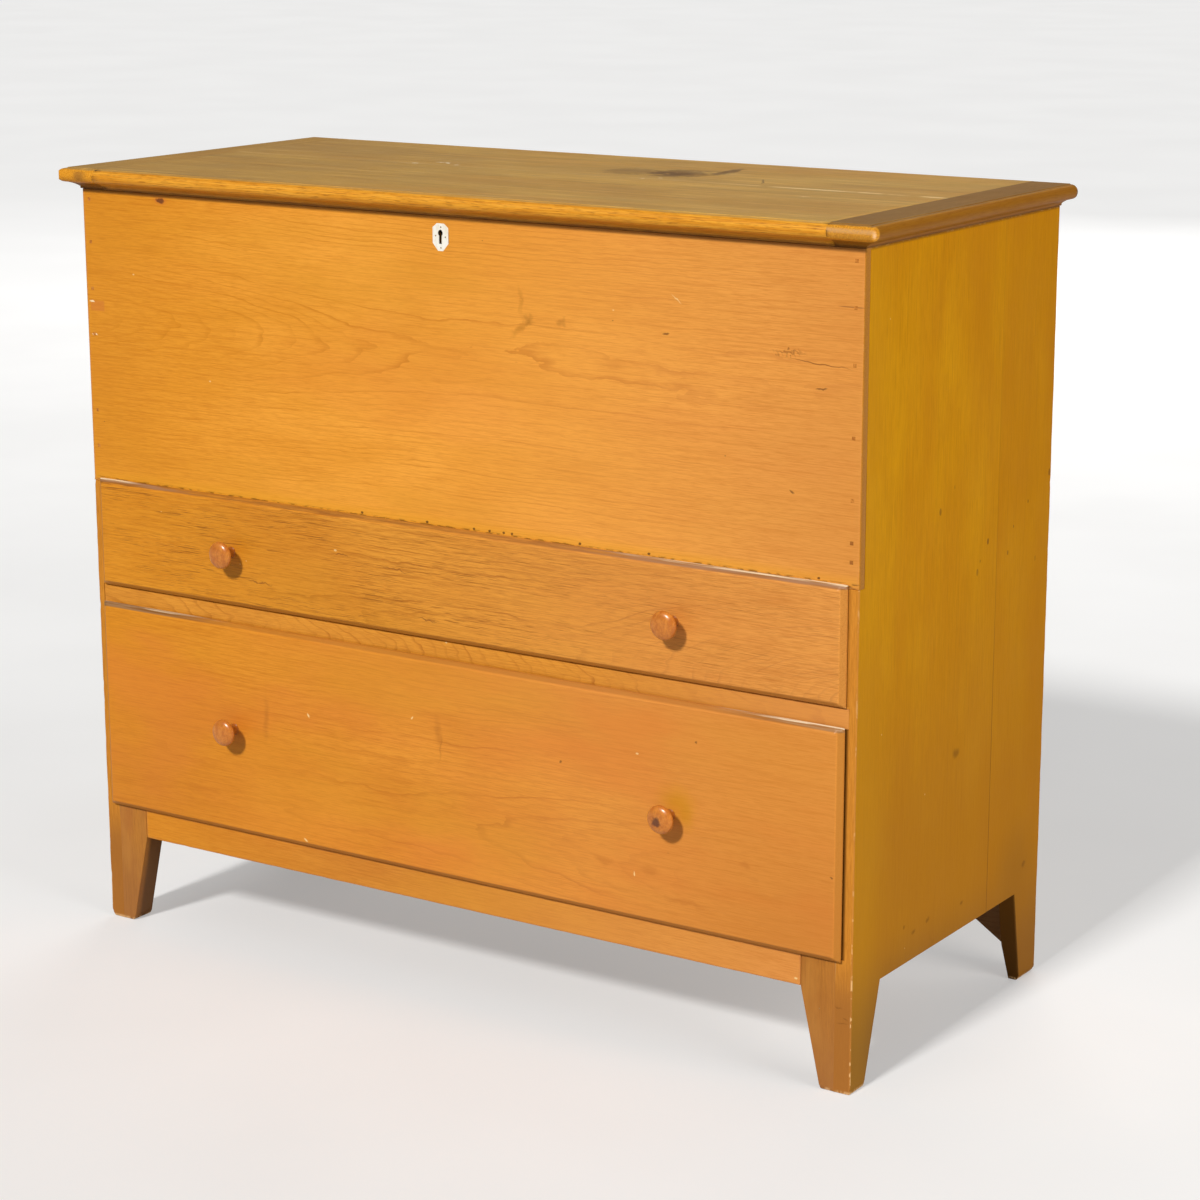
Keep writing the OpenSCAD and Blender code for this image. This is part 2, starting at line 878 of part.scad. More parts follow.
// The tails on one end of both sides, from the shoulder line y0 to their ends at y1.
// They run back past the shoulder into the board. For sockets, out takes them past the drawer's
// sides and over past their ends.
module tails(low, h, count, y0, y1, out, over) {
    pitch = side_h(h) / count;
    wide = pitch / 2 - tail_edge;
    neck = wide - tail_slope;
    back = y0 < y1 ? -cut : cut;
    for (s = [0, 1], i = [0 : count - 1])
        mirror([s, 0, 0]) along_x(box_x - drawer_t, box_x + out)
            translate([0, side_low(low) + (i + 0.5) * pitch])
                polygon([
                    [y0 + back, -neck], [y0 + back, neck], [y0, neck], [y1, wide],
                    [y1 + over, wide], [y1 + over, -wide], [y1, -wide], [y0, -neck]
                ]);
}

module front_tails(low, h, gap, count, out = 0) {
    tails(low, h, count, inner_y(gap), inner_y(gap) - socket, out, 0);
}

module back_tails(low, h, count, over = 0) {
    tails(low, h, count, rear_y - drawer_t, rear_y, over, over);
}

module drawer_front(low, h, lip, gap, count, to_left) {
    top_z = low + h + lip;
    base_z = low + face_gap;
    lip_x = in_x + lip_side;
    bevel_y = front_y - gap - lip_edge;
    lip_y = front_y - gap;
    difference() {
        union() {
            intersection() {
                translate([0, 0, base_z]) linear_extrude(top_z - base_z)
                    polygon([
                        [-lip_x, lip_y], [-lip_x, bevel_y], [-lip_x + bevel_w, face_y(gap)],
                        [lip_x - bevel_w, face_y(gap)], [lip_x, bevel_y], [lip_x, lip_y]
                    ]);
                along_x(-lip_x, lip_x)
                    polygon([
                        [lip_y, base_z], [bevel_y, base_z], [face_y(gap), base_z + bevel_w],
                        [face_y(gap), top_z - bevel_w], [bevel_y, top_z], [lip_y, top_z]
                    ]);
            }
            block([-box_x, lip_y - lip_edge, base_z], [box_x, inner_y(gap), low + h - face_gap]);
        }
        front_tails(low, h, gap, count, cut);
        bottom_panel(low, gap);
        for (s = [-1, 1]) knob_place(s, low, h, lip, gap, to_left) tenon_hole();
    }
}

module drawer_side(low, h, gap, count) {
    z0 = side_low(low);
    panel_top = z0 + groove_up + bottom_t;
    difference() {
        union() {
            block([box_x - drawer_t, inner_y(gap), z0], [box_x, rear_y - drawer_t, z0 + side_h(h)]);
            block([box_x - drawer_t, inner_y(gap), z0], [box_x, rear_y, panel_top]);
            intersection() {
                union() {
                    front_tails(low, h, gap, count);
                    back_tails(low, h, count);
                }
                block([0, front_y, z0], [half_w, back_y, z0 + side_h(h)]);
            }
        }
        bottom_panel(low, gap, cut);
    }
}

module drawer_back(low, h, count) {
    z0 = side_low(low) + groove_up + bottom_t;
    difference() {
        block([-box_x, rear_y - drawer_t, z0], [box_x, rear_y, side_low(low) + side_h(h) - face_gap]);
        back_tails(low, h, count, cut);
        bottom_nail_row(low);
    }
}

module drawer_bottom(low, gap) {
    difference() {
        bottom_panel(low, gap);
        bottom_nail_row(low, cut);
    }
}

module bottom_nail_row(low, over = 0) {
    z = side_low(low) + groove_up;
    for (i = [0 : bottom_nails - 1])
        translate([((i + 0.5) / bottom_nails - 0.5) * 2 * box_x, rear_y - drawer_t / 2, z])
            rotate([90, 0, 0]) nail(bottom_nail_len, over);
}

// s is the knob's side, to_left how far the pair is off the middle
module knob_place(s, low, h, lip, gap, to_left) {
    translate([s * knob_x - to_left, face_y(gap), (low + face_gap + low + h + lip) / 2]) children();
}

// From the drawer's face at the origin back through the drawer front
module tenon() {
    rotate([-90, 0, 0]) cylinder(h = drawer_front_t, r = knob_tenon_r);
}

module tenon_hole() {
    translate([0, -cut, 0])
        rotate([-90, 0, 0]) cylinder(h = drawer_front_t + 2 * cut, r = knob_tenon_r + hole_gap);
}

// Half outline of a knob: X is its radius, Y its distance from the drawer's face
rim_at = knob_len - 7.2;
neck_at = 6;
curve_steps = 8;
knob_outline = concat(
    [[0, 0], [knob_foot_r, 0], [knob_foot_r, 1.2]],
    [for (i = [1 : curve_steps]) let (a = 90 * i / curve_steps)
        [knob_foot_r + (knob_neck_r - knob_foot_r) * sin(a), 1.2 + (neck_at - 1.2) * (1 - cos(a))]],
    [for (i = [1 : curve_steps]) let (a = 90 * i / curve_steps)
        [knob_neck_r + (knob_r - knob_neck_r) * (1 - cos(a)), neck_at + (rim_at - neck_at) * sin(a)]],
    [for (i = [1 : curve_steps]) let (a = 90 * i / curve_steps)
        [knob_r * pow(cos(a), 0.7), rim_at + (knob_len - rim_at) * sin(a)]]
);

module knob() {
    rotate([90, 0, 0]) rotate_extrude() polygon(knob_outline);
    tenon();
}

module upper_front() {
    drawer_front(rail_top, upper_open, upper_lip, upper_gap, upper_tails, 0);
}

module upper_side() {
    drawer_side(rail_top, upper_open, upper_gap, upper_tails);
}

module upper_knob(s) {
    color(cherry) knob_place(s, rail_top, upper_open, upper_lip, upper_gap, 0) knob();
}

module lower_front() {
    drawer_front(apron_top, lower_open, lower_lip, lower_gap, lower_tails, lower_knobs_left);
}

module lower_side() {
    drawer_side(apron_top, lower_open, lower_gap, lower_tails);
}

module lower_knob(s) {
    color(cherry) knob_place(s, apron_top, lower_open, lower_lip, lower_gap, lower_knobs_left) knob();
}

color(ochre) left_side_front();  // side_left_front_board
color(ochre) left_side_rear();  // side_left_rear_board
color(ochre) right_side_front(right_nails, right_wear);  // side_right_front_board
color(ochre) right_side_rear(right_nails, right_wear);  // side_right_rear_board
front_board();
well_floor();
back_board(2);  // back_board_upper
back_board(1);  // back_board_middle
back_board(0);  // back_board_lower
drawer_rail();
bottom_rail();
left() foot_block();  // front_foot_block_left
foot_block();  // front_foot_block_right
left() rear_bracket();  // rear_bracket_left
rear_bracket();  // rear_bracket_right
left() upper_runner();  // upper_runner_left
upper_runner();  // upper_runner_right
left() lower_runner();  // lower_runner_left
lower_runner();  // lower_runner_right
escutcheon();
escutcheon_pins();
lock_case();
lock_screws();
front_nails();
back_nails();
case_leaf(-1);  // hinge_case_leaf_left
case_leaf(1);  // hinge_case_leaf_right
hinge_pin(-1);  // hinge_pin_left
hinge_pin(1);  // hinge_pin_right
case_hinge_screws();
lid_board(nose_y - cut, joint_y);  // lid_front_board
lid_board(joint_y, back_y + cut);  // lid_rear_board
left() lid_cleat();  // lid_cleat_left
lid_cleat();  // lid_cleat_right
lid_leaf(-1);  // hinge_lid_leaf_left
lid_leaf(1);  // hinge_lid_leaf_right
lid_hinge_screws();
strike_plate();
strike_screws();
lock_bolt();
color(flecked) upper_front();  // upper_drawer_front
color(pale) left() upper_side();  // upper_drawer_side_left
color(pale) upper_side();  // upper_drawer_side_right
color(pale) drawer_back(rail_top, upper_open, upper_tails);  // upper_drawer_back
color(pale) drawer_bottom(rail_top, upper_gap);  // upper_drawer_bottom
upper_knob(-1);  // upper_knob_left
upper_knob(1);  // upper_knob_right
color(iron) bottom_nail_row(rail_top);  // upper_drawer_nails
color(amber) lower_front();  // lower_drawer_front
color(pale) left() lower_side();  // lower_drawer_side_left
color(pale) lower_side();  // lower_drawer_side_right
color(pale) drawer_back(apron_top, lower_open, lower_tails);  // lower_drawer_back
color(pale) drawer_bottom(apron_top, lower_gap);  // lower_drawer_bottom
lower_knob(-1);  // lower_knob_left
lower_knob(1);  // lower_knob_right
color(iron) bottom_nail_row(apron_top);  // lower_drawer_nails
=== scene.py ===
import json
import math

import bmesh
import bpy
from mathutils import Matrix, Vector, noise


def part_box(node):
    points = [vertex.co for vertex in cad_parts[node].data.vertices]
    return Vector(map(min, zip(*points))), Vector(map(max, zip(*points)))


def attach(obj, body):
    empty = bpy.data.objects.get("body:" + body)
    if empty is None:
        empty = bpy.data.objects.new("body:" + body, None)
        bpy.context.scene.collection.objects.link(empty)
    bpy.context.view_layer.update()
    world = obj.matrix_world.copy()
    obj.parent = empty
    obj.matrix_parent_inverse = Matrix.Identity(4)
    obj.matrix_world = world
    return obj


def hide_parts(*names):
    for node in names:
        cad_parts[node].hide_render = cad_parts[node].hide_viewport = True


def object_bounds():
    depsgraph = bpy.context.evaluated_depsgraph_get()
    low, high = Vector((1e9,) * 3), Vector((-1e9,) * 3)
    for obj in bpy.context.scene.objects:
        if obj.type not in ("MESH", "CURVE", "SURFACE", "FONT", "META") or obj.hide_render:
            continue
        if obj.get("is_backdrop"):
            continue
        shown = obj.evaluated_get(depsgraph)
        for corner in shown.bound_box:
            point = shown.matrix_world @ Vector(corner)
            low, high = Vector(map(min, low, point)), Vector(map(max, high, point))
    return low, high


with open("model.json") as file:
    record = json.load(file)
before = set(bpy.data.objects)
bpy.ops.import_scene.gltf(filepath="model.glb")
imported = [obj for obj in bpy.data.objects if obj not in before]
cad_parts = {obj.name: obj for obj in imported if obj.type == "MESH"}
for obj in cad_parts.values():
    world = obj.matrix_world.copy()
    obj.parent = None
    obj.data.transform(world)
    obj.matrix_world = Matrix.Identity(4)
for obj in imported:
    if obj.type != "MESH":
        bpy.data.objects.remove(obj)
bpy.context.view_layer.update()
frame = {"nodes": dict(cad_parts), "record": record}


# Places on the chest in metres, from the boxes of its solids

front_low, front_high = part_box("front_board")
side_low, side_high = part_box("side_right_front_board")
rear_low, rear_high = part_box("side_right_rear_board")
lid_low, lid_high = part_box("lid_cleat_right")
front_face, case_top = front_low.y, front_high.z
side_inner, side_outer = side_low.x, side_high.x
side_joint, case_rear = rear_low.y, rear_high.y
cleat_joint, board_joint = lid_low.x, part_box("lid_rear_board")[0].y


# Shapes


def long_axis(low, high):
    size = high - low
    return max(range(3), key=lambda i: size[i])


def second_nearest(point, low, high):
    """How near a point is to the nearest outer edge of its board's box."""
    return sorted(min(point[i] - low[i], high[i] - point[i]) for i in range(3))[1]


def bevel_sharp(bm, width, least, skip):
    """Rounds the outward sharp edges that are at least that long and aren't in a skipped plane."""
    sharp, in_plane = math.radians(28), 2e-5
    picked = []
    for edge in bm.edges:
        if len(edge.link_faces) != 2 or edge.calc_length() < least or not edge.is_convex:
            continue
        if edge.calc_face_angle(0) < sharp:
            continue
        in_skipped = any(all(abs(v.co[i] - at) < in_plane for v in edge.verts) for i, at in skip)
        if not in_skipped:
            picked.append(edge)
    if picked:
        bmesh.ops.bevel(
            bm, geom=picked, offset=width, segments=2, profile=0.5, affect="EDGES", clamp_overlap=True
        )


def slice_board(bm, low, high, step, band):
    """Cuts a board across its length, and once along each outer edge, so its edges can be uneven."""
    axis = long_axis(low, high)
    count = max(1, int((high[axis] - low[axis]) / step))
    cuts = [(axis, low[axis] + (high[axis] - low[axis]) * (i + 0.5) / count) for i in range(count)]
    for i in range(3):
        if high[i] - low[i] > 5 * band:
            cuts += [(i, low[i] + band), (i, high[i] - band)]
    for i, at in cuts:
        normal, point = Vector((0, 0, 0)), Vector((0, 0, 0))
        normal[i], point[i] = 1, at
        geom = bm.verts[:] + bm.edges[:] + bm.faces[:]
        bmesh.ops.bisect_plane(bm, geom=geom, dist=1e-6, plane_co=point, plane_no=normal)


def wear_edges(bm, low, high, width, depth, chips, seed, skip):
    """Moves the points near a board's outer edges inwards by an uneven amount."""
    middle = (low + high) / 2
    reach, in_plane = 1.6 * width, 1e-4
    wear_waves, chip_waves, least_chip = 45, 130, 0.35
    shift = Vector((seed, 2 * seed, 0))
    for v in bm.verts:
        near = second_nearest(v.co, low, high)
        if near > reach or any(abs(v.co[i] - at) < in_plane for i, at in skip):
            continue
        worn = depth * (0.5 + 0.5 * noise.noise(v.co * wear_waves + shift))
        chip = chips * max(0.0, noise.noise(v.co * chip_waves + shift) - least_chip)
        inward = Vector((0, 0, 0))
        order = sorted(range(3), key=lambda i: min(v.co[i] - low[i], high[i] - v.co[i]))
        for i in order[:2]:
            inward[i] = 1 if v.co[i] < middle[i] else -1
        v.co += inward * (worn + chip)


def shade_smooth(obj):
    """Smooth shading but for sharp edges, with normals that follow the large faces."""
    obj.data.shade_smooth()
    obj.data.set_sharp_from_angle(angle=math.radians(35))
    weighted = obj.modifiers.new("weighted", "WEIGHTED_NORMAL")
    weighted.keep_sharp = True
    weighted.weight = 80
    graph = bpy.context.evaluated_depsgraph_get()
    done = bpy.data.meshes.new_from_object(obj.evaluated_get(graph))
    obj.modifiers.clear()
    obj.data = done


def link_new(name, data):
    made = bpy.data.objects.new(name, data)
    bpy.context.scene.collection.objects.link(made)
    return made


def mesh_from(name, bm):
    mesh = bpy.data.meshes.new(name)
    bm.to_mesh(mesh)
    bm.free()
    return mesh


def add_piece(name, bm, node, body):
    obj = link_new(name, mesh_from(name, bm))
    shade_smooth(obj)
    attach(obj, body)
    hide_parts(node)
    return obj


node_body = {n: b for b, nodes in frame["record"]["behaviour"]["bodies"].items() for n in nodes}
node_slot = {s["node"]: s["material_slot"] for s in frame["record"]["subparts"]}


def worn_copy(node, material, bevel=0.0011, wear=0.0003, chips=0.0, step=0.012, least=0.012, skip=()):
    """A copy of a solid with rounded, uneven edges, which stands in for it."""
    bm = bmesh.new()
    bm.from_mesh(frame["nodes"][node].data)
    bmesh.ops.remove_doubles(bm, verts=bm.verts, dist=2e-6)
    bmesh.ops.dissolve_limit(bm, angle_limit=math.radians(0.6), verts=bm.verts, edges=bm.edges)
    low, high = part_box(node)
    bevel_sharp(bm, bevel, least, skip)
    if step:
        band, seed = max(4 * bevel, 0.004), len(node) * 0.37
        slice_board(bm, low, high, step, band)
        wear_edges(bm, low, high, bevel, wear, chips, seed, skip)
    piece = add_piece("worn_" + node, bm, node, node_body[node])
    piece.data.materials.clear()
    piece.data.materials.append(material)


# Materials


def linear(r, g, b):
    """A seen colour, 0 to 255, in Blender's own values."""
    seen = [c / 255 for c in (r, g, b)]
    return (*(c / 12.92 if c <= 0.04045 else ((c + 0.055) / 1.055) ** 2.4 for c in seen), 1.0)


def feed(socket, value):
    """Connects an input or sets it; three numbers are a colour as it is seen on a screen, 0 to 255."""
    if isinstance(value, Num):
        socket.id_data.links.new(value.out, socket)
    elif isinstance(value, bpy.types.NodeSocket):
        socket.id_data.links.new(value, socket)
    elif isinstance(value, tuple):
        socket.default_value = linear(*value)
    else:
        socket.default_value = value


def feed_all(node, inputs):
    for name, value in inputs.items():
        feed(node.inputs[name], value)


class Num:
    """A number that a material works out. Arithmetic on it adds Math nodes to that material."""

    def __init__(self, out):
        self.out = out

    def math(self, operation, *others):
        node = self.out.id_data.nodes.new("ShaderNodeMath")
        node.operation = operation
        for socket, value in zip(node.inputs, (self, *others)):
            feed(socket, value)
        return Num(node.outputs[0])

    def __add__(self, other):
        return self.math("ADD", other)

    def __sub__(self, other):
        return self.math("SUBTRACT", other)

    def __mul__(self, other):
        return self.math("MULTIPLY", other)

    def __rsub__(self, other):
        return self.math("MULTIPLY_ADD", -1.0, other)

    def abs(self):
        return self.math("ABSOLUTE")

    def min(self, other):
        return self.math("MINIMUM", other)

    def max(self, other):
        return self.math("MAXIMUM", other)


class Paint:
    """A material that is being made: a colour, a roughness and a height that each step adds to."""

    def __init__(self, name):
        self.material = bpy.data.materials.new(name)
        self.material.use_nodes = True
        self.tree = self.material.node_tree
        self.shader = self.tree.nodes["Principled BSDF"]
        self.place = self.node("ShaderNodeTexCoord").outputs["Object"]
        parts = self.node("ShaderNodeSeparateXYZ", {0: self.place})
        self.x, self.y, self.z = (Num(out) for out in parts.outputs)
        self.colour = None
        self.height = None

    def node(self, kind, inputs=None, **settings):
        made = self.tree.nodes.new(kind)
        for name, value in settings.items():
            setattr(made, name, value)
        feed_all(made, inputs or {})
        return made

    def at(self, sx, sy, sz, seed=0.0):
        """The place on the part, scaled apart for each direction."""
        shift = [seed, seed * 1.7, seed * 2.3]
        inputs = {"Vector": self.place, "Scale": [sx, sy, sz], "Location": shift}
        return self.node("ShaderNodeMapping", inputs).outputs[0]

    def noise(self, where, detail=2.0, rough=0.5, colour=False):
        inputs = {"Vector": where, "Scale": 1.0, "Detail": detail, "Roughness": rough}
        node = self.node("ShaderNodeTexNoise", inputs)
        return node.outputs["Color"] if colour else Num(node.outputs[0])

    def smooth(self, value, zero_at, one_at, low=0.0, high=1.0):
        if zero_at > one_at:
            zero_at, one_at, low, high = one_at, zero_at, high, low
        inputs = {"Value": value, "From Min": zero_at, "From Max": one_at, "To Min": low, "To Max": high}
        return Num(self.node("ShaderNodeMapRange", inputs, interpolation_type="SMOOTHSTEP").outputs[0])

    def mix(self, share, a, b):
        return self.node("ShaderNodeMix", {0: share, 6: a, 7: b}, data_type="RGBA").outputs[2]

    def tint(self, share, colour):
        self.colour = self.mix(share, self.colour, colour)

    def fade(self, value, zero_at, one_at, share, colour):
        """Tints more and more between two values."""
        self.tint(self.smooth(value, zero_at, one_at, 0.0, share), colour)

    def raise_by(self, amount):
        self.height = amount if self.height is None else self.height + amount

    def uneven(self, amount, scale):
        """The place on the part, pushed about by noise, for marks with ragged outlines."""
        waves = self.noise(self.at(scale, scale, scale, 3.1), 3, colour=True)
        inputs = {0: waves, 1: [amount] * 3, 2: self.place}
        pushed = self.node("ShaderNodeVectorMath", inputs, operation="MULTIPLY_ADD").outputs[0]
        inputs = {0: pushed, 1: [amount / 2] * 3}
        return self.node("ShaderNodeVectorMath", inputs, operation="SUBTRACT").outputs[0]

    def spot(self, centre, radii, soft, turn=(0, 0, 0), where=None):
        """1 in the middle of an ellipsoid and 0 outside it; centre and radii in mm, turn in degrees."""
        inputs = {
            "Vector": self.place if where is None else where,
            "Location": [c / 1000 for c in centre],
            "Rotation": [math.radians(t) for t in turn],
            "Scale": [r / 1000 for r in radii],
        }
        placed = self.node("ShaderNodeMapping", inputs, vector_type="TEXTURE").outputs[0]
        far = self.node("ShaderNodeVectorMath", {0: placed}, operation="LENGTH").outputs["Value"]
        return self.smooth(Num(far), 1.0, 1.0 - soft)

    def edge_distance(self, low, high):
        """Distance in metres to the nearest outer edge of a box."""
        gaps = []
        for value, a, b in zip((self.x, self.y, self.z), low, high):
            gaps.append((b - a) / 2 - (value - (a + b) / 2).abs())
        small, large = gaps[0].min(gaps[1]), gaps[0].max(gaps[1])
        return small.max(large.min(gaps[2]))

    def done(self, rough, bump=0.3, relief=0.0005, coat=0.0, metal=0.0, coat_rough=0.2, gloss=0.5):
        inputs = {
            "Base Color": self.colour, "Roughness": rough, "Metallic": metal,
            "Coat Weight": coat, "Coat Roughness": coat_rough, "Specular IOR Level": gloss,
        }
        if self.height is not None:
            bumps = {"Strength": bump, "Distance": relief, "Height": self.height}
            inputs["Normal"] = self.node("ShaderNodeBump", bumps).outputs[0]
        feed_all(self.shader, inputs)
        return self.material


class Wood(Paint):
    """Solid wood. The growth rings are cylinders about a pith line that runs along the grain and bends.

    The tones are the colours of its lighter areas, its darker areas and the lines of its rings.
    """

    def __init__(
        self, name, grain, wide, tones, pith, ring, bends=(), lines=0.5, wavy=0.004, streaks=1.0, seed=0.0
    ):
        super().__init__(name)
        self.grain, self.wide, self.seed = grain, wide, seed
        self.deep = ({"x", "y", "z"} - {grain, wide}).pop()
        light, dark, line = tones
        self.late = self.late_wood(pith, ring, bends, wavy)
        self.fibre = self.noise(self.along(13, 620), 3, 0.62)
        self.strand = self.noise(self.along(18, 330), 3, 0.6)
        self.hair = self.noise(self.along(60, 1200), 2, 0.6)
        cloud = self.noise(self.along(2.4, 8), 3, 0.55)
        blotch = self.noise(self.along(9, 16), 3, 0.6)
        self.colour = self.mix(self.smooth(cloud + (blotch - 0.5) * 0.5, 0.3, 0.7), light, dark)
        self.streaked(line, streaks)
        self.tint(self.late * lines, line)
        self.raise_by(self.fibre * 0.35 + self.hair * 0.3 - self.late * 0.2)

    def along(self, lengthwise, crosswise, seed=0.0):
        """The place on the part, with so many waves per metre along the grain and across it."""
        scale = {self.grain: lengthwise, self.wide: crosswise, self.deep: crosswise}
        return self.at(scale["x"], scale["y"], scale["z"], self.seed + seed)

    def late_wood(self, pith, ring, bends, wavy):
        """1 in the dark part of each growth ring. The pith is given across the board and through it."""
        axis = {"x": self.x, "y": self.y, "z": self.z}
        across = axis[self.wide] - pith[0]
        depth = axis[self.deep] - pith[1]
        for start, end, amount in bends:
            depth = depth + self.smooth(axis[self.grain], start, end, 0.0, amount)
        radius = (across * across + depth * depth).math("SQRT")
        wander = (4, 14, 2.4 * wavy), (15, 42, wavy), (1.5, 70, 0.9 * ring), (60, 110, 0.0018)
        for lengthwise, crosswise, amount in wander:
            radius = radius + (self.noise(self.along(lengthwise, crosswise), 2) - 0.5) * amount
        rings = radius * (1 / ring)
        one_ring = self.node("ShaderNodeTexWhiteNoise", {"W": rings.math("FLOOR")}, noise_dimensions="1D")
        clear = self.smooth(self.noise(self.along(9, 36), 2), 0.34, 0.66, 0.25, 1.0)
        clear = clear * self.smooth(Num(one_ring.outputs["Value"]), 0.0, 1.0, 0.3, 1.1)
        within = rings.math("FRACT")
        return self.smooth(within, 0.66, 0.96) * self.smooth(within, 1.0, 0.97) * clear

    def streaked(self, colour, share):
        """Fine lines of another tone along the grain."""
        self.tint(self.smooth(self.strand, 0.5, 0.68, 0.0, 0.11) * share, colour)
        self.tint(self.smooth(self.fibre, 0.46, 0.68, 0.0, 0.27) * share, colour)
        self.tint(self.smooth(self.hair, 0.42, 0.74, 0.0, 0.36) * share, colour)

    def flecks(self, share, colour, lengthwise, crosswise, least):
        """Short dark lines along the grain, as open pores leave them."""
        mask = self.smooth(self.noise(self.along(lengthwise, crosswise), 2, 0.55), least, least + 0.07)
        patch = self.smooth(self.noise(self.along(7, 40), 3), 0.36, 0.62, 0.15, 1.0)
        self.tint(mask * patch * share, colour)
        self.raise_by(mask * patch * -0.5)

    def bare(self, share):
        """Wood that was never stained, where the share is 1."""
        wood = self.mix(self.smooth(self.fibre, 0.35, 0.65), (196, 154, 100), (166, 122, 74))
        self.tint(share, self.mix(self.late * 0.5, wood, (126, 86, 48)))

    def patches(self, share, colour, lengthwise=2.0, crosswise=7.0, seed=5.0):
        """Large soft areas of another hue."""
        self.fade(self.noise(self.along(lengthwise, crosswise, seed), 3, 0.55), 0.46, 0.68, share, colour)

    def chipped(self, low, high, colour, share, width, least, where=None):
        """A broken thin line of another tone along the edges of a board's box."""
        broken = self.smooth(self.noise(self.along(75, 130), 2), least, least + 0.06)
        mask = self.smooth(self.edge_distance(low, high), width, 0.35 * width) * broken
        if where is not None:
            mask = mask * where
        self.tint(mask * share, colour)

    def worn(self, low, high, colour, width, share):
        """Another tone along the edges of a board's box, unevenly."""
        ragged = (self.noise(self.along(30, 160), 3) - 0.5) * (1.2 * width)
        edge = self.smooth(self.edge_distance(low, high) + ragged, width, 0.4 * width)
        self.tint(edge * share, colour)

    def nicks(self, colour, share, size, scale, kept, seed=1.0, where=None):
        """Tiny scattered marks, longer along the grain; kept is the share of places that have one."""
        inputs = {"Vector": self.along(scale * 0.6, scale), "Scale": 1.0}
        cells = self.node("ShaderNodeTexVoronoi", inputs)
        pick = self.node("ShaderNodeSeparateColor", {0: cells.outputs["Color"]})
        here = self.smooth(Num(pick.outputs[0]), 1.0 - kept, 1.0 - kept + 0.01)
        grown = self.smooth(Num(pick.outputs[1]), 0.0, 1.0, 0.35 * size, size)
        mask = self.smooth(Num(cells.outputs["Distance"]) - grown, 0.02, 0.0) * here
        if where is not None:
            mask = mask * where
        self.tint(mask * share, colour)
        self.raise_by(mask * -0.5)


def finish_wood(paint, rough=0.38, bump=0.4, relief=0.0004, gloss=0.2):
    """A low sheen that is uneven over the board and along its fibres."""
    cloud = paint.noise(paint.at(14, 14, 14, 8.0), 3)
    return paint.done((cloud - 0.5) * 0.22 + paint.hair * 0.08 + rough, bump, relief, gloss=gloss)


# Seen colours that several woods share

pale_chip = (246, 216, 150)
dark_dirt = (92, 56, 24)
deep_shade = (72, 42, 12)
broken_edge = (232, 188, 126)


class FrontWood(Wood):
    """The wood of a board of the front, whose face carries marks placed one by one."""

    def __init__(self, name, node, tones, pith, ring, **more):
        self.low, self.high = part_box(node)
        super().__init__(name, "x", "z", tones, pith, ring, **more)

    def patch(self, x, z, across, up, turn, soft, where=None):
        """A patch of the face; its middle and half sizes in mm, its turn in degrees."""
        through = 60
        return self.spot((x, self.low.y * 1000, z), (across, through, up), soft, (0, turn, 0), where)

    def mark(self, x, z, across, up, share, colour, turn, soft, where):
        self.tint(self.patch(x, z, across, up, turn, soft, where) * share, colour)


def shift_front(paint):
    """The front is more yellow at its left end and pinker at its right, partly as a painted sheen."""
    paint.patches(0.3, (224, 132, 52))
    paint.patches(0.35, (214, 146, 38), 2.6, 9.0, 11.0)
    # Pinker towards the right end: partly the wood's tone, partly a painted sheen.
    paint.fade(paint.x, -0.15, 0.5, 0.55, (230, 156, 84))
    paint.fade(paint.x, -0.05, -0.5, 0.55, (224, 144, 22))
    paint.streaked((188, 104, 14), paint.smooth(paint.x.abs(), 0.1, 0.45, 0.0, 0.8))


def stain_front_board(paint):
    """A knot at the top left, and a puttied patch with two pale rubs at the left end."""
    ragged = paint.uneven(0.006, 160)
    knot_x, knot_z, knot_turn = -401, 890.5, 8
    paint.mark(knot_x, knot_z, 13, 7, 0.6, (200, 108, 44), knot_turn, 0.8, ragged)
    paint.mark(knot_x, knot_z, 7.5, 3.2, 0.9, (112, 62, 30), knot_turn, 0.4, ragged)
    putty_x, putty_z = -0.504, 0.761
    filled = paint.smooth((paint.x - putty_x).abs(), 0.0118, 0.0098)
    filled = filled * paint.smooth((paint.z - putty_z).abs(), 0.0070, 0.0052)
    paint.tint(filled * 0.5, (206, 116, 50))
    for x, z, up in ((-512, 766, 1.6), (-510, 727, 1.4)):
        paint.mark(x, z, 5, up, 1.0, (250, 226, 180), 0, 0.5, ragged)


def scuff_front_board(paint):
    """Soft smears right of the middle, thin scratches, and nail holes along the bottom in painted shade."""
    smear = paint.uneven(0.02, 70)
    for x, z, across, up, share, colour, turn in (
        (112, 795, 10, 8, 0.55, (150, 92, 24), 0),
        (102, 786, 18, 6, 0.5, (170, 104, 22), -45),
        (104, 814, 4, 22, 0.35, (176, 108, 26), 0),
        (156, 793, 8, 7, 0.4, (150, 92, 30), 0),
    ):
        paint.mark(x, z, across, up, share, colour, turn, 1.0, smear)
    ragged = paint.uneven(0.006, 160)
    for x, z, across, up, share, colour, turn in (
        (287, 793, 5, 1.2, 0.7, dark_dirt, 0),
        (473, 753, 9, 1.3, 0.7, dark_dirt, -6),
        (440, 643, 4, 1.6, 0.7, dark_dirt, 20),
        (300, 831, 9, 1.0, 0.6, pale_chip, 38),
    ):
        paint.mark(x, z, across, up, share, colour, turn, 0.6, ragged)
    paint.mark(433, 787, 26, 3.5, 0.7, (140, 80, 30), 0, 0.9, paint.uneven(0.02, 260))
    paint.mark(472, 778, 48, 0.9, 0.7, (120, 68, 26), 4, 0.7, paint.uneven(0.006, 60))
    # Painted shade: each nail hole is a dark dot, as the shade inside it.
    holes = paint.uneven(0.0022, 420)
    for x in (-116, -25, 39, 60, 79, 90, 179, 267, 473):
        paint.mark(x, 557, 2.2, 1.8, 0.85, (84, 46, 14), 0, 0.45, holes)


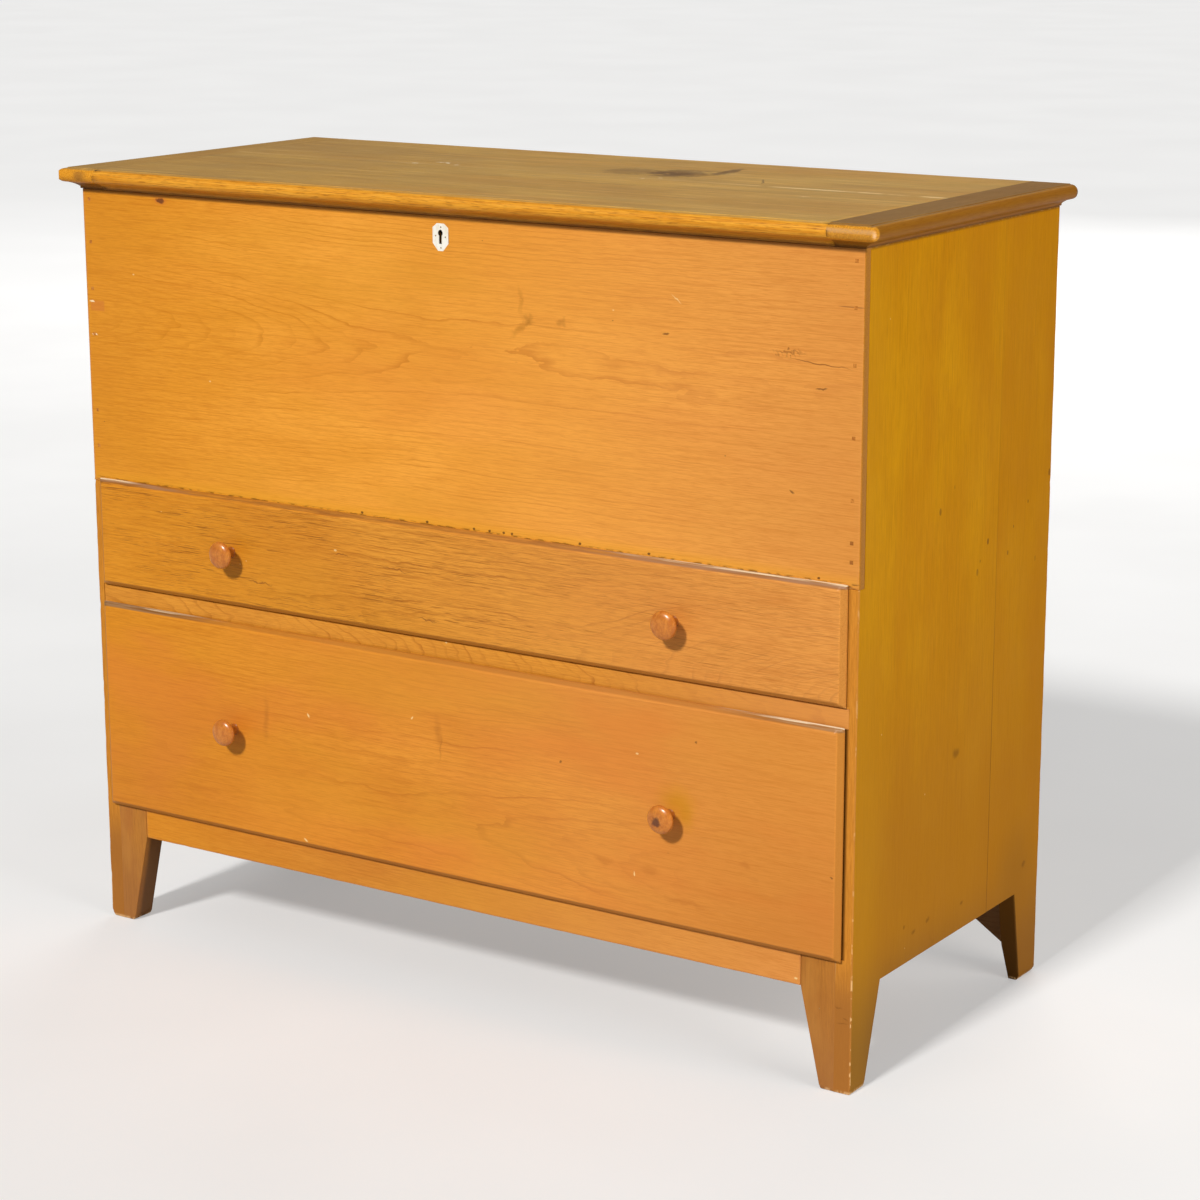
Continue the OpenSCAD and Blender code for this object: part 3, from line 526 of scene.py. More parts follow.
def age_front_board(paint):
    """Dirt along the bottom, painted shade in the keyhole, a scored line, the edges and ends, and painted
    shade under the lid.
    """
    low, high = paint.low, paint.high
    gritty = paint.smooth(paint.noise(paint.at(90, 1, 420, 6.0), 3), 0.46, 0.6)
    low_edge = paint.smooth(paint.z, low.z + 0.0072, low.z + 0.0042) * gritty
    paint.tint(low_edge * 0.75, (104, 62, 20))
    # Painted shade: the keyhole's walls through the board are near black.
    inside = paint.smooth(paint.y, low.y + 0.0015, low.y + 0.003)
    paint.tint(paint.spot((-1, -202, 875), (9, 20, 16), 0.2) * inside, (30, 18, 8))
    scored_z = 0.8385
    scored = paint.smooth((paint.z - scored_z).abs(), 0.0009, 0.0004) * paint.smooth(paint.x, 0.488, 0.498)
    paint.tint(scored * 0.6, (140, 84, 40))
    paint.worn(low, high, (214, 138, 66), 0.004, 0.35)
    paint.chipped(low, high, (232, 180, 118), 0.4, 0.0016, 0.58)
    ends = paint.smooth(paint.x.abs(), high.x - 0.0015, high.x - 0.0003)
    end_grain = paint.mix(paint.smooth(paint.hair, 0.3, 0.7), (186, 122, 22), (158, 98, 14))
    paint.tint(ends * 0.9, end_grain)
    # Painted shadow of the lid's overhang along the top of the face.
    painted_lid_shadow = paint.smooth(paint.z, high.z - 0.0056, high.z - 0.0030)
    painted_lid_shadow = painted_lid_shadow * paint.smooth(paint.y, low.y + 0.00415, low.y + 0.00215)
    paint.tint(painted_lid_shadow * 0.4, deep_shade)


def front_board_wood():
    tones = (247, 168, 62), (235, 156, 50), (190, 108, 12)
    paint = FrontWood(
        "front_board_wood", "front_board", tones, pith=(0.745, -0.178), ring=0.0046,
        bends=[(-0.66, 0.0, -0.05)], lines=0.6, wavy=0.0055, streaks=0.9,
    )
    low, high = paint.low, paint.high
    shift_front(paint)
    paint.fade(paint.z, low.z + 0.019, low.z + 0.006, 0.45, (238, 166, 40))
    paint.fade(paint.x, 0.34, 0.53, 0.3, (200, 126, 54))
    paint.fade(paint.x, -0.34, -0.53, 0.2, (190, 118, 26))
    stain_front_board(paint)
    scuff_front_board(paint)
    age_front_board(paint)
    behind = paint.smooth(paint.y, high.y - 0.0014, high.y - 0.0006)
    on_top = paint.smooth(paint.z, high.z - 0.0006, high.z - 0.0001)
    paint.bare(behind.max(on_top) * paint.smooth(paint.x.abs(), high.x - 0.001, high.x - 0.002) * 0.9)
    paint.nicks(pale_chip, 0.6, 0.045, 45, 0.07)
    paint.nicks(dark_dirt, 0.45, 0.05, 60, 0.05, 5.0)
    return finish_wood(paint)


def drawer_bevel(paint):
    """1 on the bevel at the ends and bottom of a drawer's face, and 0 on the flat of the face."""
    width = 0.0062
    gap = (paint.high.x - paint.x.abs()).min(paint.z - paint.low.z)
    return paint.smooth(gap, width, width - 0.0015)


def bare_behind_lip(paint):
    """Behind its lip a drawer's front was never stained."""
    lip_back = paint.high.y - 0.014
    paint.bare(paint.smooth(paint.y, lip_back - 0.0005, lip_back + 0.0005) * 0.9)


def edge_streaks(paint):
    """Long thin streaks on the top edge of a drawer's front."""
    return paint.smooth(paint.noise(paint.at(14, 400, 400, 2.0), 3), 0.4, 0.6)


def upper_drawer_top(paint):
    """The top edge: darker with dirt and painted shade, a painted grey sheen towards the ends, and a painted
    highlight, partly rubbed wear, along the outer corner.
    """
    top_z = paint.high.z
    top = paint.smooth(paint.z, top_z - 0.0052, top_z - 0.0034)
    greyed = paint.smooth(paint.x, 0.1, 0.35).max(paint.smooth(paint.x, -0.33, -0.45))
    streak = edge_streaks(paint)
    # Darker along the top: partly dirt, partly painted shade.
    paint.tint(top * (greyed * 0.45 + 0.3), (132, 84, 40))
    paint.tint(top * streak * 0.4, (120, 72, 32))
    # A painted grey sheen towards the ends.
    paint.tint(top * greyed * streak * 0.25, (206, 172, 146))
    # A painted highlight along the outer corner, partly rubbed wear.
    rubbed = paint.smooth(paint.x, 0.2, 0.33).max(paint.smooth(paint.x, -0.44, -0.48))
    bright = rubbed * paint.smooth(paint.z, top_z - 0.0018, top_z - 0.0008)
    paint.tint(bright * (streak * 0.8 + 0.1), (244, 220, 180))


def upper_drawer_wood():
    tones = (228, 153, 52), (216, 139, 42), (160, 88, 14)
    paint = FrontWood(
        "upper_drawer_wood", "upper_drawer_front", tones, pith=(0.432, -0.105), ring=0.0042,
        bends=[(0.14, 0.74, 0.118), (-0.6, -0.1, 0.01)], lines=0.75, wavy=0.005, streaks=1.3, seed=4.0,
    )
    shift_front(paint)
    leftwards = paint.smooth(paint.x, 0.3, -0.15, 0.5, 1.0)
    paint.flecks(leftwards * 0.75, (132, 74, 12), 22, 800, 0.6)
    paint.flecks(leftwards * 0.6, (150, 86, 16), 40, 1200, 0.58)
    ragged = paint.uneven(0.008, 140)
    for x, z, across, turn in ((-65, 499, 26, 4), (-142, 507, 18, 3), (-262, 459, 26, 4), (-20, 447, 20, 2)):
        paint.mark(x, z, across, 1.4, 0.65, (122, 66, 24), turn, 0.8, ragged)
    paint.nicks(pale_chip, 0.6, 0.05, 45, 0.07)
    near_knob = paint.patch(-285, 492, 34, 26, 0, 0.7)
    paint.nicks(pale_chip, 0.6, 0.09, 150, 0.3, 3.0, near_knob)
    paint.tint(drawer_bevel(paint) * 0.55, (178, 116, 42))
    upper_drawer_top(paint)
    paint.chipped(paint.low, paint.high, broken_edge, 0.5, 0.0014, 0.6)
    bare_behind_lip(paint)
    return finish_wood(paint)


def mark_lower_drawer(paint):
    """Soft stains, small chips and dirt, and a yellow area right below and beside the right knob."""
    smear = paint.uneven(0.012, 60)
    for x, z, across, up in ((215, 209, 17, 6), (276, 208, 20, 7), (395, 236, 10, 6), (320, 180, 40, 5)):
        paint.mark(x, z, across, up, 0.32, (176, 96, 30), 3, 0.8, smear)
    for x, z, across, up, turn in ((-256, 296, 6, 40, 2), (-6, 318, 7, 30, -6), (-4, 300, 2, 24, 8)):
        paint.mark(x, z, across, up, 0.32, (160, 88, 26), turn, 1.0, smear)
    ragged = paint.uneven(0.005, 200)
    for x, z, turn in ((-193, 309, 60), (-43, 330, -50), (256, 201, 80), (-201, 157, 20)):
        paint.mark(x, z, 4, 1.4, 0.8, pale_chip, turn, 0.6, ragged)
    for x, z in ((160, 312), (333, 362), (500, 242)):
        paint.mark(x, z, 2.4, 2.0, 0.7, dark_dirt, 0, 0.7, ragged)
    paint.mark(309, 291, 34, 27, 0.55, (206, 142, 14), 0, 1.0, smear)
    paint.mark(321, 276, 15, 20, 0.45, (196, 134, 10), 0, 1.0, smear)


def lower_drawer_top(paint):
    """The top edge: darker with dirt and painted shade, darkest at the left, with a painted grey sheen and
    highlight, partly rubbed wear, at both ends.
    """
    top_z = paint.high.z
    top = paint.smooth(paint.z, top_z - 0.0054, top_z - 0.0036)
    ends = paint.smooth(paint.x, 0.33, 0.45).max(paint.smooth(paint.x, -0.3, -0.45) * 0.9)
    leftmost = paint.smooth(paint.x, -0.3, -0.42)
    streak = edge_streaks(paint)
    # Darker along the top: partly dirt, partly painted shade.
    paint.tint(top * (ends * 0.35 + 0.4), (132, 84, 38))
    paint.tint(top * leftmost * 0.5, (92, 64, 40))
    # A painted grey sheen and highlight at both ends, partly rubbed wear.
    paint.tint(top * ends * streak * 0.35, (190, 158, 120))
    bright = ends * paint.smooth(paint.z, top_z - 0.0020, top_z - 0.0008)
    paint.tint(bright * (streak * 0.8 + 0.15), (236, 212, 176))


def lower_drawer_wood():
    tones = (228, 148, 48), (216, 136, 38), (178, 98, 16)
    paint = FrontWood(
        "lower_drawer_wood", "lower_drawer_front", tones, pith=(0.215, -0.12), ring=0.0052,
        bends=[(-0.1, 0.5, 0.03)], lines=0.6, wavy=0.006, streaks=1.2, seed=7.0,
    )
    shift_front(paint)
    paint.fade(paint.x, 0.15, 0.45, 0.45, (206, 128, 40))
    paint.patches(0.42, (218, 122, 50), 3.0, 8.0, 17.0)
    low_corners = paint.smooth(paint.z, 0.34, 0.15) * paint.smooth(paint.x.abs(), 0.15, 0.5)
    paint.tint(low_corners * 0.3, (178, 104, 36))
    mark_lower_drawer(paint)
    paint.tint(drawer_bevel(paint) * 0.6, (172, 112, 38))
    lower_drawer_top(paint)
    paint.chipped(paint.low, paint.high, broken_edge, 0.5, 0.0014, 0.6)
    paint.nicks(pale_chip, 0.6, 0.045, 45, 0.06)
    paint.nicks(dark_dirt, 0.4, 0.045, 50, 0.04, 5.0)
    bare_behind_lip(paint)
    return finish_wood(paint)


def rail_wood():
    tones = (226, 152, 52), (212, 138, 44), (172, 96, 22)
    paint = FrontWood(
        "rail_wood", "drawer_rail", tones, pith=(0.36, -0.36), ring=0.0048,
        bends=[(-0.56, 0.56, 0.2)], lines=0.7, wavy=0.008, streaks=1.2, seed=9.0,
    )
    paint.fade(paint.x, 0.1, 0.5, 0.7, (214, 140, 72))
    paint.nicks(pale_chip, 0.7, 0.05, 60, 0.08)
    return finish_wood(paint)


def bottom_rail_wood():
    tones = (222, 148, 54), (206, 130, 44), (176, 98, 24)
    paint = FrontWood(
        "bottom_rail_wood", "bottom_rail", tones, pith=(0.0, -0.1), ring=0.003,
        lines=0.35, wavy=0.003, streaks=1.2, seed=12.0,
    )
    shift_front(paint)
    paint.worn(paint.low, paint.high, (190, 122, 62), 0.003, 0.4)
    paint.nicks(pale_chip, 0.7, 0.06, 55, 0.08)
    return finish_wood(paint)


def rub_foot(paint):
    """The stain is rubbed off where a foot stands on the floor."""
    broken = paint.smooth(paint.noise(paint.at(160, 160, 60, 1.0), 2), 0.42, 0.55)
    paint.tint(paint.smooth(paint.z, 0.0045, 0.0015) * broken * 0.7, (226, 180, 124))


def stain_side(paint):
    """The side is browner towards the floor and greyer on its feet."""
    paint.patches(0.35, (188, 118, 10), 2.0, 12.0)
    paint.fade(paint.z, 0.6, 0.12, 0.75, (178, 115, 26))
    paint.fade(paint.z, 0.17, 0.03, 0.88, (116, 80, 47))
    paint.fade(paint.y, -0.12, -0.2, 0.35, (208, 146, 26))
    paint.fade(paint.y, -0.08, 0.22, 0.45, (180, 114, 4))


def soil_side(paint, face):
    """A band of small dents, smudges on the face, and the joint of the two boards."""
    band = paint.smooth(paint.z, 0.66, 0.58) * paint.smooth(paint.z, 0.48, 0.54)
    paint.nicks(dark_dirt, 0.65, 0.095, 42, 0.7, 2.0, band)
    paint.nicks(dark_dirt, 0.4, 0.05, 40, 0.06, 6.0)
    paint.nicks(pale_chip, 0.6, 0.035, 50, 0.07, 4.0)
    smudge = paint.uneven(0.012, 80)
    through = 60
    for y, z, r in ((17, 322, 9), (43, 141, 4), (-40, 146, 4), (-73, 143, 4), (200, 142, 5), (-95, 155, 3)):
        small = paint.spot((face * 1000, y, z), (through, r * 1.4, r), 0.8, where=smudge)
        paint.tint(small * 0.5, (104, 64, 10))
    large = paint.spot((face * 1000, 175, 150), (through, 75, 75), 1.0, where=smudge)
    paint.tint(large * 0.22, (116, 80, 34))
    joint = paint.smooth((paint.y - side_joint).abs(), 0.0011, 0.0004)
    paint.tint(joint * paint.smooth(paint.z, 0.75, 0.25, 0.15, 0.6), (112, 70, 16))


def side_front_edge(paint, scratched):
    """The edge that shows beside the drawers, pinker than the face, with painted shade next to the drawers.
    """
    edge = paint.smooth(paint.y, front_face + 0.0016, front_face + 0.0008)
    paint.tint(edge * 0.85, paint.mix(paint.smooth(paint.hair, 0.3, 0.7), (214, 140, 54), (190, 120, 44)))
    paint.tint(edge * paint.smooth(paint.z, 0.16, 0.09, 0.0, 0.85), (160, 102, 46))
    if scratched:
        ragged = paint.uneven(0.004, 220)
        for x, z, across, turn in ((510, 79, 9, -6), (513, 85, 5, 20), (505, 96, 6, 4)):
            scratch = paint.spot((x, front_face * 1000, z), (across, 6, 1.3), 0.9, (0, turn, 0), ragged)
            paint.tint(scratch * 0.4, dark_dirt)
    lower_low, lower_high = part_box("lower_drawer_front")
    upper_low, upper_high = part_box("upper_drawer_front")
    lower = paint.smooth(paint.z, lower_low.z + 0.001, lower_low.z + 0.002)
    lower = lower * paint.smooth(paint.z, lower_high.z + 0.0005, lower_high.z - 0.0005)
    upper = paint.smooth(paint.z, upper_low.z + 0.0005, upper_low.z + 0.0015)
    upper = upper * paint.smooth(paint.z, upper_high.z - 0.0035, upper_high.z - 0.0045)
    # Painted shade that the drawers' lips cast on the edge beside them.
    near = paint.smooth(paint.x.abs(), lower_high.x + 0.0035, lower_high.x + 0.0007)
    paint.tint(near * lower.max(upper * 0.35) * edge * 0.8, (84, 50, 14))


def shade_rear_foot(paint):
    """The front facet of the rear foot looks down and away from the light."""
    floor_y, lean = 0.19685, 0.18018
    off_facet = (paint.z * lean + paint.y - floor_y).abs()
    foot_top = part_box("bottom_rail")[0].z
    low_down = paint.smooth(paint.z, foot_top + 0.002, foot_top - 0.001)
    rearwards = paint.smooth(paint.y, 0.1, 0.12)
    paint.tint(paint.smooth(off_facet, 0.0016, 0.0008) * low_down * rearwards * 0.75, (76, 50, 24))


def wear_side(paint, low, high):
    """Worn and chipped outer edges; the joint between the boards isn't an edge."""
    low = Vector((min(low.x, 0), front_face, low.z))
    high = Vector((max(high.x, 0), case_rear, high.z))
    paint.worn(low, high, (186, 122, 54), 0.0024, 0.5)
    lower = paint.smooth(paint.z, 0.25, 0.1, 0.35, 1.0)
    paint.chipped(low, high, (232, 184, 122), 0.85, 0.0022, 0.54, lower)


def side_wood(node, seed):
    """A side is stained yellower than the front."""
    low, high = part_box(node)
    right = low.x > 0
    face = side_outer if right else -side_outer
    tones = (214, 150, 8), (202, 135, 4), (158, 96, 0)
    paint = Wood(
        node + "_wood", "z", "y", tones, pith=((low.y + high.y) / 2 + 0.02, face * 0.86), ring=0.0046,
        bends=[(0.0, 0.9, face * 0.02)], lines=0.14, wavy=0.004, streaks=0.9, seed=seed,
    )
    stain_side(paint)
    soil_side(paint, face)
    side_front_edge(paint, right)
    shade_rear_foot(paint)
    wear_side(paint, low, high)
    rub_foot(paint)
    # Painted shadow of the lid's overhang along the top of the outer face.
    outside = paint.smooth(paint.x.abs(), side_outer - 0.0025, side_outer - 0.0005)
    painted_lid_shadow = paint.smooth(paint.z, case_top - 0.0035, case_top - 0.0015)
    paint.tint(painted_lid_shadow * outside * 0.4, deep_shade)
    inside = paint.smooth(paint.x.abs(), side_inner + 0.0009, side_inner + 0.0003)
    inside = inside * paint.smooth(paint.z, 0.12, 0.15)
    on_top = paint.smooth(paint.z, case_top - 0.0006, case_top - 0.0001)
    behind = paint.smooth(paint.y, case_rear - 0.00125, case_rear - 0.00045)
    paint.bare(inside.max(on_top).max(behind) * 0.85)
    return finish_wood(paint, gloss=0.02)


def foot_block_wood():
    """The blocks glued inside the front feet, browner at the floor and dark behind their front face."""
    tones = (188, 122, 44), (170, 105, 37), (130, 78, 25)
    paint = Wood(
        "foot_block_wood", "z", "x", tones, pith=(0.0, -0.1), ring=0.004,
        lines=0.25, wavy=0.003, streaks=1.0, seed=13.0,
    )
    paint.patches(0.45, (164, 96, 46), 9.0, 22.0)
    paint.patches(0.5, (196, 134, 56), 10.0, 26.0, 9.0)
    paint.fade(paint.z, 0.15, 0.0, 0.6, (154, 100, 54))
    inside = paint.smooth(paint.y, front_face + 0.004, front_face + 0.012)
    paint.tint(inside * 0.75, (96, 64, 32))
    paint.nicks(pale_chip, 0.7, 0.05, 60, 0.1)
    paint.nicks(dark_dirt, 0.5, 0.06, 60, 0.1, 5.0)
    rub_foot(paint)
    return finish_wood(paint)


def dull_lid(paint, darker):
    """The lid's top is dulled in patches and rubbed along the grain."""
    dull = paint.smooth(paint.noise(paint.along(4, 14), 4, 0.6), 0.38, 0.66)
    paint.tint(dull * 0.4, (178, 142, 78))
    paint.patches(0.35, (202, 144, 64), 2.5, 10.0)
    paint.fade(paint.x, -0.1, -0.5, 0.2, (136, 106, 76))
    rubs = paint.noise(paint.along(5, 90), 4, 0.65)
    paint.fade(rubs, 0.52, 0.7, 0.35, (240, 196, 112))
    paint.fade(rubs, 0.46, 0.3, 0.35, (152, 110, 54))
    if darker:
        paint.tint(darker, (118, 80, 44))
    paint.nicks(pale_chip, 0.5, 0.045, 40, 0.08)


def lid_edge(paint, on_cleat):
    """1 on the moulded edge, whose inner limit is uneven."""
    ragged = (paint.noise(paint.along(22, 130), 3) - 0.5) * 0.0045
    below_top = paint.smooth(paint.z + ragged * 0.25, lid_high.z - 0.0007, lid_high.z - 0.0028)
    behind_nose = paint.y - lid_low.y - ragged
    if not on_cleat:
        return below_top.max(paint.smooth(behind_nose, 0.00715, 0.00315))
    from_side = lid_high.x - paint.x.abs() - ragged * 0.5
    edge = below_top.max(paint.smooth(behind_nose, 0.00315, 0.00165))
    return edge.max(paint.smooth(from_side, 0.0035, 0.0015) * 0.7)


def lid_wood(name, grain, wide, pith, seed, darker=0.0):
    """The top of the lid is dulled; its moulded edge is rubbed back to orange, with painted shade on its
    lower part and the hollow beneath.
    """
    on_cleat = grain == "y"
    tones = (219, 171, 83), (202, 152, 72), (142, 100, 46)
    bends = [] if on_cleat else [(-0.5, 0.5, 0.02)]
    paint = Wood(
        name, grain, wide, tones, pith, ring=0.0056,
        bends=bends, lines=0.3, wavy=0.006, streaks=1.1, seed=seed,
    )
    dull_lid(paint, darker)
    edge = lid_edge(paint, on_cleat)
    rim = paint.mix(paint.smooth(paint.fibre, 0.35, 0.65), (238, 166, 50), (216, 138, 28))
    rim = paint.mix(paint.smooth(paint.hair, 0.5, 0.66) * 0.6, rim, (146, 84, 16))
    paint.tint(edge, rim)
    if on_cleat:
        behind_corner = paint.smooth(paint.y, lid_low.y + 0.00815, lid_low.y + 0.01215)
        paint.tint(edge * behind_corner * 0.85, (130, 80, 14))
    # Painted shade: darker down the lower part of the edge, darkest in the hollow under it.
    paint.fade(paint.z, lid_low.z + 0.0117, lid_low.z + 0.0047, 0.35, (142, 84, 14))
    paint.tint(paint.smooth(paint.z, lid_low.z + 0.0025, lid_low.z + 0.0012) * 0.45, deep_shade)
    under = paint.smooth(paint.z, lid_low.z + 0.0009, lid_low.z + 0.0003)
    over_case = paint.smooth(paint.x.abs(), side_outer - 0.0045, side_outer - 0.0085)
    over_case = over_case * paint.smooth(paint.y, front_face + 0.00215, front_face + 0.00615)
    paint.bare(under * over_case * 0.9)
    return paint


def stain_lid(paint, top):
    """The dark stain on the lid, in four soft parts, and a thin dark scratch beside it."""
    stain = (88, 58, 40)
    smear = paint.uneven(0.022, 60)
    for x, y, half_x, half_y, turn, soft, share in (
        (112, 98, 46, 52, 33, 0.4, 0.54),
        (106, 92, 32, 32, 33, 0.6, 0.52),
        (150, 140, 11, 50, 5, 0.4, 0.65),
        (52, 90, 40, 42, 33, 0.3, 0.3),
    ):
        paint.tint(paint.spot((x, y, top), (half_x, half_y, 6), soft, (0, 0, turn), smear) * share, stain)
    scratch = paint.spot((236, 73, top), (1.6, 30, 6), 0.6, (0, 0, 30), paint.uneven(0.008, 150))
    paint.tint(scratch * 0.7, stain)


def scratch_lid(paint, top):
    """Pale scratches near the middle of the lid, and one near its front."""
    ragged = paint.uneven(0.008, 150)
    for x, y, half, turn in (
        (-193, 58, 11, 20), (-182, 52, 7, -40), (-216, 34, 5, 0),
        (-161, 41, 5, 0), (120, 44, 4, 0), (105, 30, 3, 0),
    ):
        scratch = paint.spot((x, y, top), (half, 2.6, 6), 0.5, (0, 0, turn), ragged)
        paint.tint(scratch * 0.9, (244, 226, 186))
    scratch = paint.spot((350, -36, top), (13, 2.0, 6), 0.6, where=ragged)
    paint.tint(scratch * 0.8, (240, 208, 150))


def lid_board_wood():
    paint = lid_wood("lid_board_wood", "x", "y", (-0.05, 0.85), 15.0)
    wander = (paint.noise(paint.at(9, 0, 0, 4.0), 2) - 0.5) * 0.003
    off_joint = (paint.y - board_joint + wander).abs()
    broken = paint.smooth(paint.noise(paint.at(16, 4, 4, 2.0), 3), 0.36, 0.48)
    broken = broken * paint.smooth(paint.x, 0.18, 0.34, 0.15, 1.0)
    on_top = paint.smooth(paint.z, lid_high.z - 0.0033, lid_high.z - 0.0008)
    paint.tint(paint.smooth(off_joint, 0.0046, 0.0024) * broken * on_top * 0.85, (252, 220, 156))
    stain_lid(paint, lid_high.z * 1000)
    scratch_lid(paint, lid_high.z * 1000)
    return finish_wood(paint, 0.42)


def cleat_wood(side, seed, darker):
    right = side == "right"
    paint = lid_wood(side + "_cleat_wood", "y", "x", (0.45 if right else -0.45, 0.85), seed, darker)
    nose = paint.smooth(paint.y, lid_low.y + 0.00315, lid_low.y + 0.00115)
    nose = nose * paint.smooth(paint.z, lid_high.z - 0.0005, lid_high.z - 0.0023)
    if right:
        paint.tint(nose * 0.35, (176, 124, 56))
        # Painted light: a sheen along the middle of the nose, and a highlight on its front corner.
        shine = paint.smooth((paint.z - 0.9165).abs(), 0.0035, 0.0005)
        shine = shine * paint.smooth(paint.fibre, 0.3, 0.6, 0.4, 1.0)
        paint.tint(nose * shine * 0.3, (214, 184, 146))
        corner = paint.spot((540.5, -230, 914), (3.2, 5, 7), 0.8, where=paint.uneven(0.005, 160))
        paint.tint(corner * 0.65, (244, 204, 160))
    else:
        smudge = paint.spot((-508, -231, 915), (14, 12, 16), 0.9, where=paint.uneven(0.012, 80))
        paint.tint(nose * smudge * 0.6, (130, 88, 44))
    return finish_wood(paint, 0.4, gloss=0.1)


def bare_wood(name, grain, wide, seed, tint=None):
    """Softwood that was never stained, a little dirty."""
    tones = (204, 164, 108), (184, 142, 88), (134, 92, 50)
    pith = {"y": -0.05, "z": 0.5}[wide], 0.12
    paint = Wood(
        name, grain, wide, tones, pith, ring=0.0062,
        bends=[(-0.5, 0.5, 0.05)], lines=0.6, wavy=0.008, streaks=1.2, seed=seed,
    )
    paint.fade(paint.noise(paint.at(3, 3, 3, 1.0), 3), 0.4, 0.75, 0.4, (140, 104, 66))
    if tint:
        paint.tint(0.55, tint)
    paint.nicks(dark_dirt, 0.5, 0.06, 40, 0.1)
    return finish_wood(paint, 0.7, 0.5, 0.0006)


def turned_wood(name, centre, mark=False):
    """Polished reddish hardwood, its grain from front to back as in a turned knob."""
    paint = Paint(name)
    x, y, z = centre
    stretched = paint.noise(paint.at(190, 60, 120, x * 9), 3, 0.6)
    fine = paint.noise(paint.at(700, 160, 500, x * 5), 3, 0.6)
    paint.colour = paint.mix(paint.smooth(stretched, 0.32, 0.68), (212, 130, 46), (190, 106, 32))
    paint.fade(fine, 0.45, 0.7, 0.3, (150, 78, 20))
    paint.fade(fine, 0.45, 0.25, 0.25, (228, 152, 68))
    behind_rim = paint.smooth(paint.y, y - 0.0195, y - 0.0150)
    paint.tint(behind_rim * 0.7, (134, 68, 16))
    paint.tint(paint.smooth(paint.y, y - 0.0222, y - 0.0196) * 0.35, (160, 88, 24))
    if mark:
        middle = (x * 1000 - 2.0, y * 1000 - 24, z * 1000 - 2.0)
        dark = paint.spot(middle, (7.4, 8, 7.0), 0.6, where=paint.uneven(0.008, 240))
        paint.tint(dark * 0.85, (84, 42, 26))
    paint.raise_by(fine * 0.5 + stretched * 0.3)
    gloss = paint.noise(paint.at(160, 160, 160, 2.0), 3)
    return paint.done((gloss - 0.5) * 0.16 + 0.26, 0.2, 0.0003, coat=1.0, coat_rough=0.28, gloss=0.1)


def bone_paint():
    """Yellowed bone, dark inside the keyhole as painted shade with dirt round its edge, and dark at the back.
    """
    low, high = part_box("escutcheon")
    paint = Paint("bone")
    grain = paint.noise(paint.at(260, 260, 60), 3, 0.6)
    paint.colour = paint.mix(paint.smooth(grain, 0.3, 0.7), (250, 247, 236), (240, 233, 214))
    paint.fade(paint.noise(paint.at(900, 900, 140, 2.0), 2), 0.6, 0.7, 0.3, (196, 176, 136))
    middle = (low.x + high.x) / 2
    hole_z, slot_z = 0.8793, 0.8735
    # The keyhole: painted shade inside it, and dirt round its edge.
    hole = paint.spot((middle * 1000, low.y * 1000, hole_z * 1000), (3.6, 30, 3.6), 0.25)
    slot = paint.smooth((paint.x - middle).abs(), 0.0019, 0.0014)
    slot = slot * paint.smooth((paint.z - slot_z).abs(), 0.0062, 0.0056)
    paint.tint(hole.max(slot), (44, 28, 16))
    paint.tint(paint.smooth(paint.y, low.y + 0.00035, low.y + 0.00085), (58, 38, 22))
    paint.raise_by(grain)
    return paint.done(paint.smooth(grain, 0.3, 0.7, 0.28, 0.42), 0.2, 0.0003)


def metal_paint(name, tones, scale, rough, metal, rust=None, darker=None):
    """Uneven metal or putty; darker is the colour of what lies low at the right end of the front board."""
    paint = Paint(name)
    cloud = paint.noise(paint.at(scale, scale, scale), 4, 0.6)
    fine = paint.noise(paint.at(scale * 6, scale * 6, scale * 6, 2.0), 3)
    paint.colour = paint.mix(paint.smooth(cloud, 0.35, 0.65), *tones)
    if rust:
        paint.fade(fine + cloud, 1.0, 1.2, 0.7, rust)
    if darker:
        paint.tint(paint.smooth(paint.z, 0.62, 0.61) * paint.smooth(paint.x, 0.0, 0.1) * 0.7, darker)
    paint.raise_by(cloud * 0.6 + fine * 0.4)
    gloss = 0.5 if metal else 0.1
    roughness = paint.smooth(cloud, 0.3, 0.7, rough - 0.08, rough + 0.1)
    return paint.done(roughness, 0.4, 0.0003, metal=metal, gloss=gloss)


iron = metal_paint("iron", ((74, 60, 52), (44, 38, 36)), 160, 0.55, 0.7, (112, 62, 34))
brass = metal_paint("brass", ((190, 152, 86), (146, 108, 54)), 200, 0.38, 1.0)
putty_tones = (206, 132, 58), (180, 106, 42)
putty = metal_paint("puttied_nail", putty_tones, 420, 0.6, 0.0, (160, 92, 34), (146, 86, 36))


# Pieces

lid_boards = lid_board_wood()
bare_across = bare_wood("bare_wood_across", "x", "z", 21.0)
bare_flat = bare_wood("bare_wood_flat", "x", "y", 27.0)
bare_deep = bare_wood("bare_wood_deep", "y", "z", 23.0)
bracket = bare_wood("bracket_wood", "x", "z", 29.0, (96, 52, 30))
foot_blocks = foot_block_wood()
wood_of = {
    "front_board": front_board_wood(),
    "drawer_rail": rail_wood(),
    "bottom_rail": bottom_rail_wood(),
    "upper_drawer_front": upper_drawer_wood(),
    "lower_drawer_front": lower_drawer_wood(),
    "lid_front_board": lid_boards,
    "lid_rear_board": lid_boards,
    "lid_cleat_left": cleat_wood("left", 17.0, 0.1),
    "lid_cleat_right": cleat_wood("right", 19.0, 0.68),
    "well_floor": bare_flat,
}
for height in ("upper", "middle", "lower"):
    wood_of["back_board_" + height] = bare_across
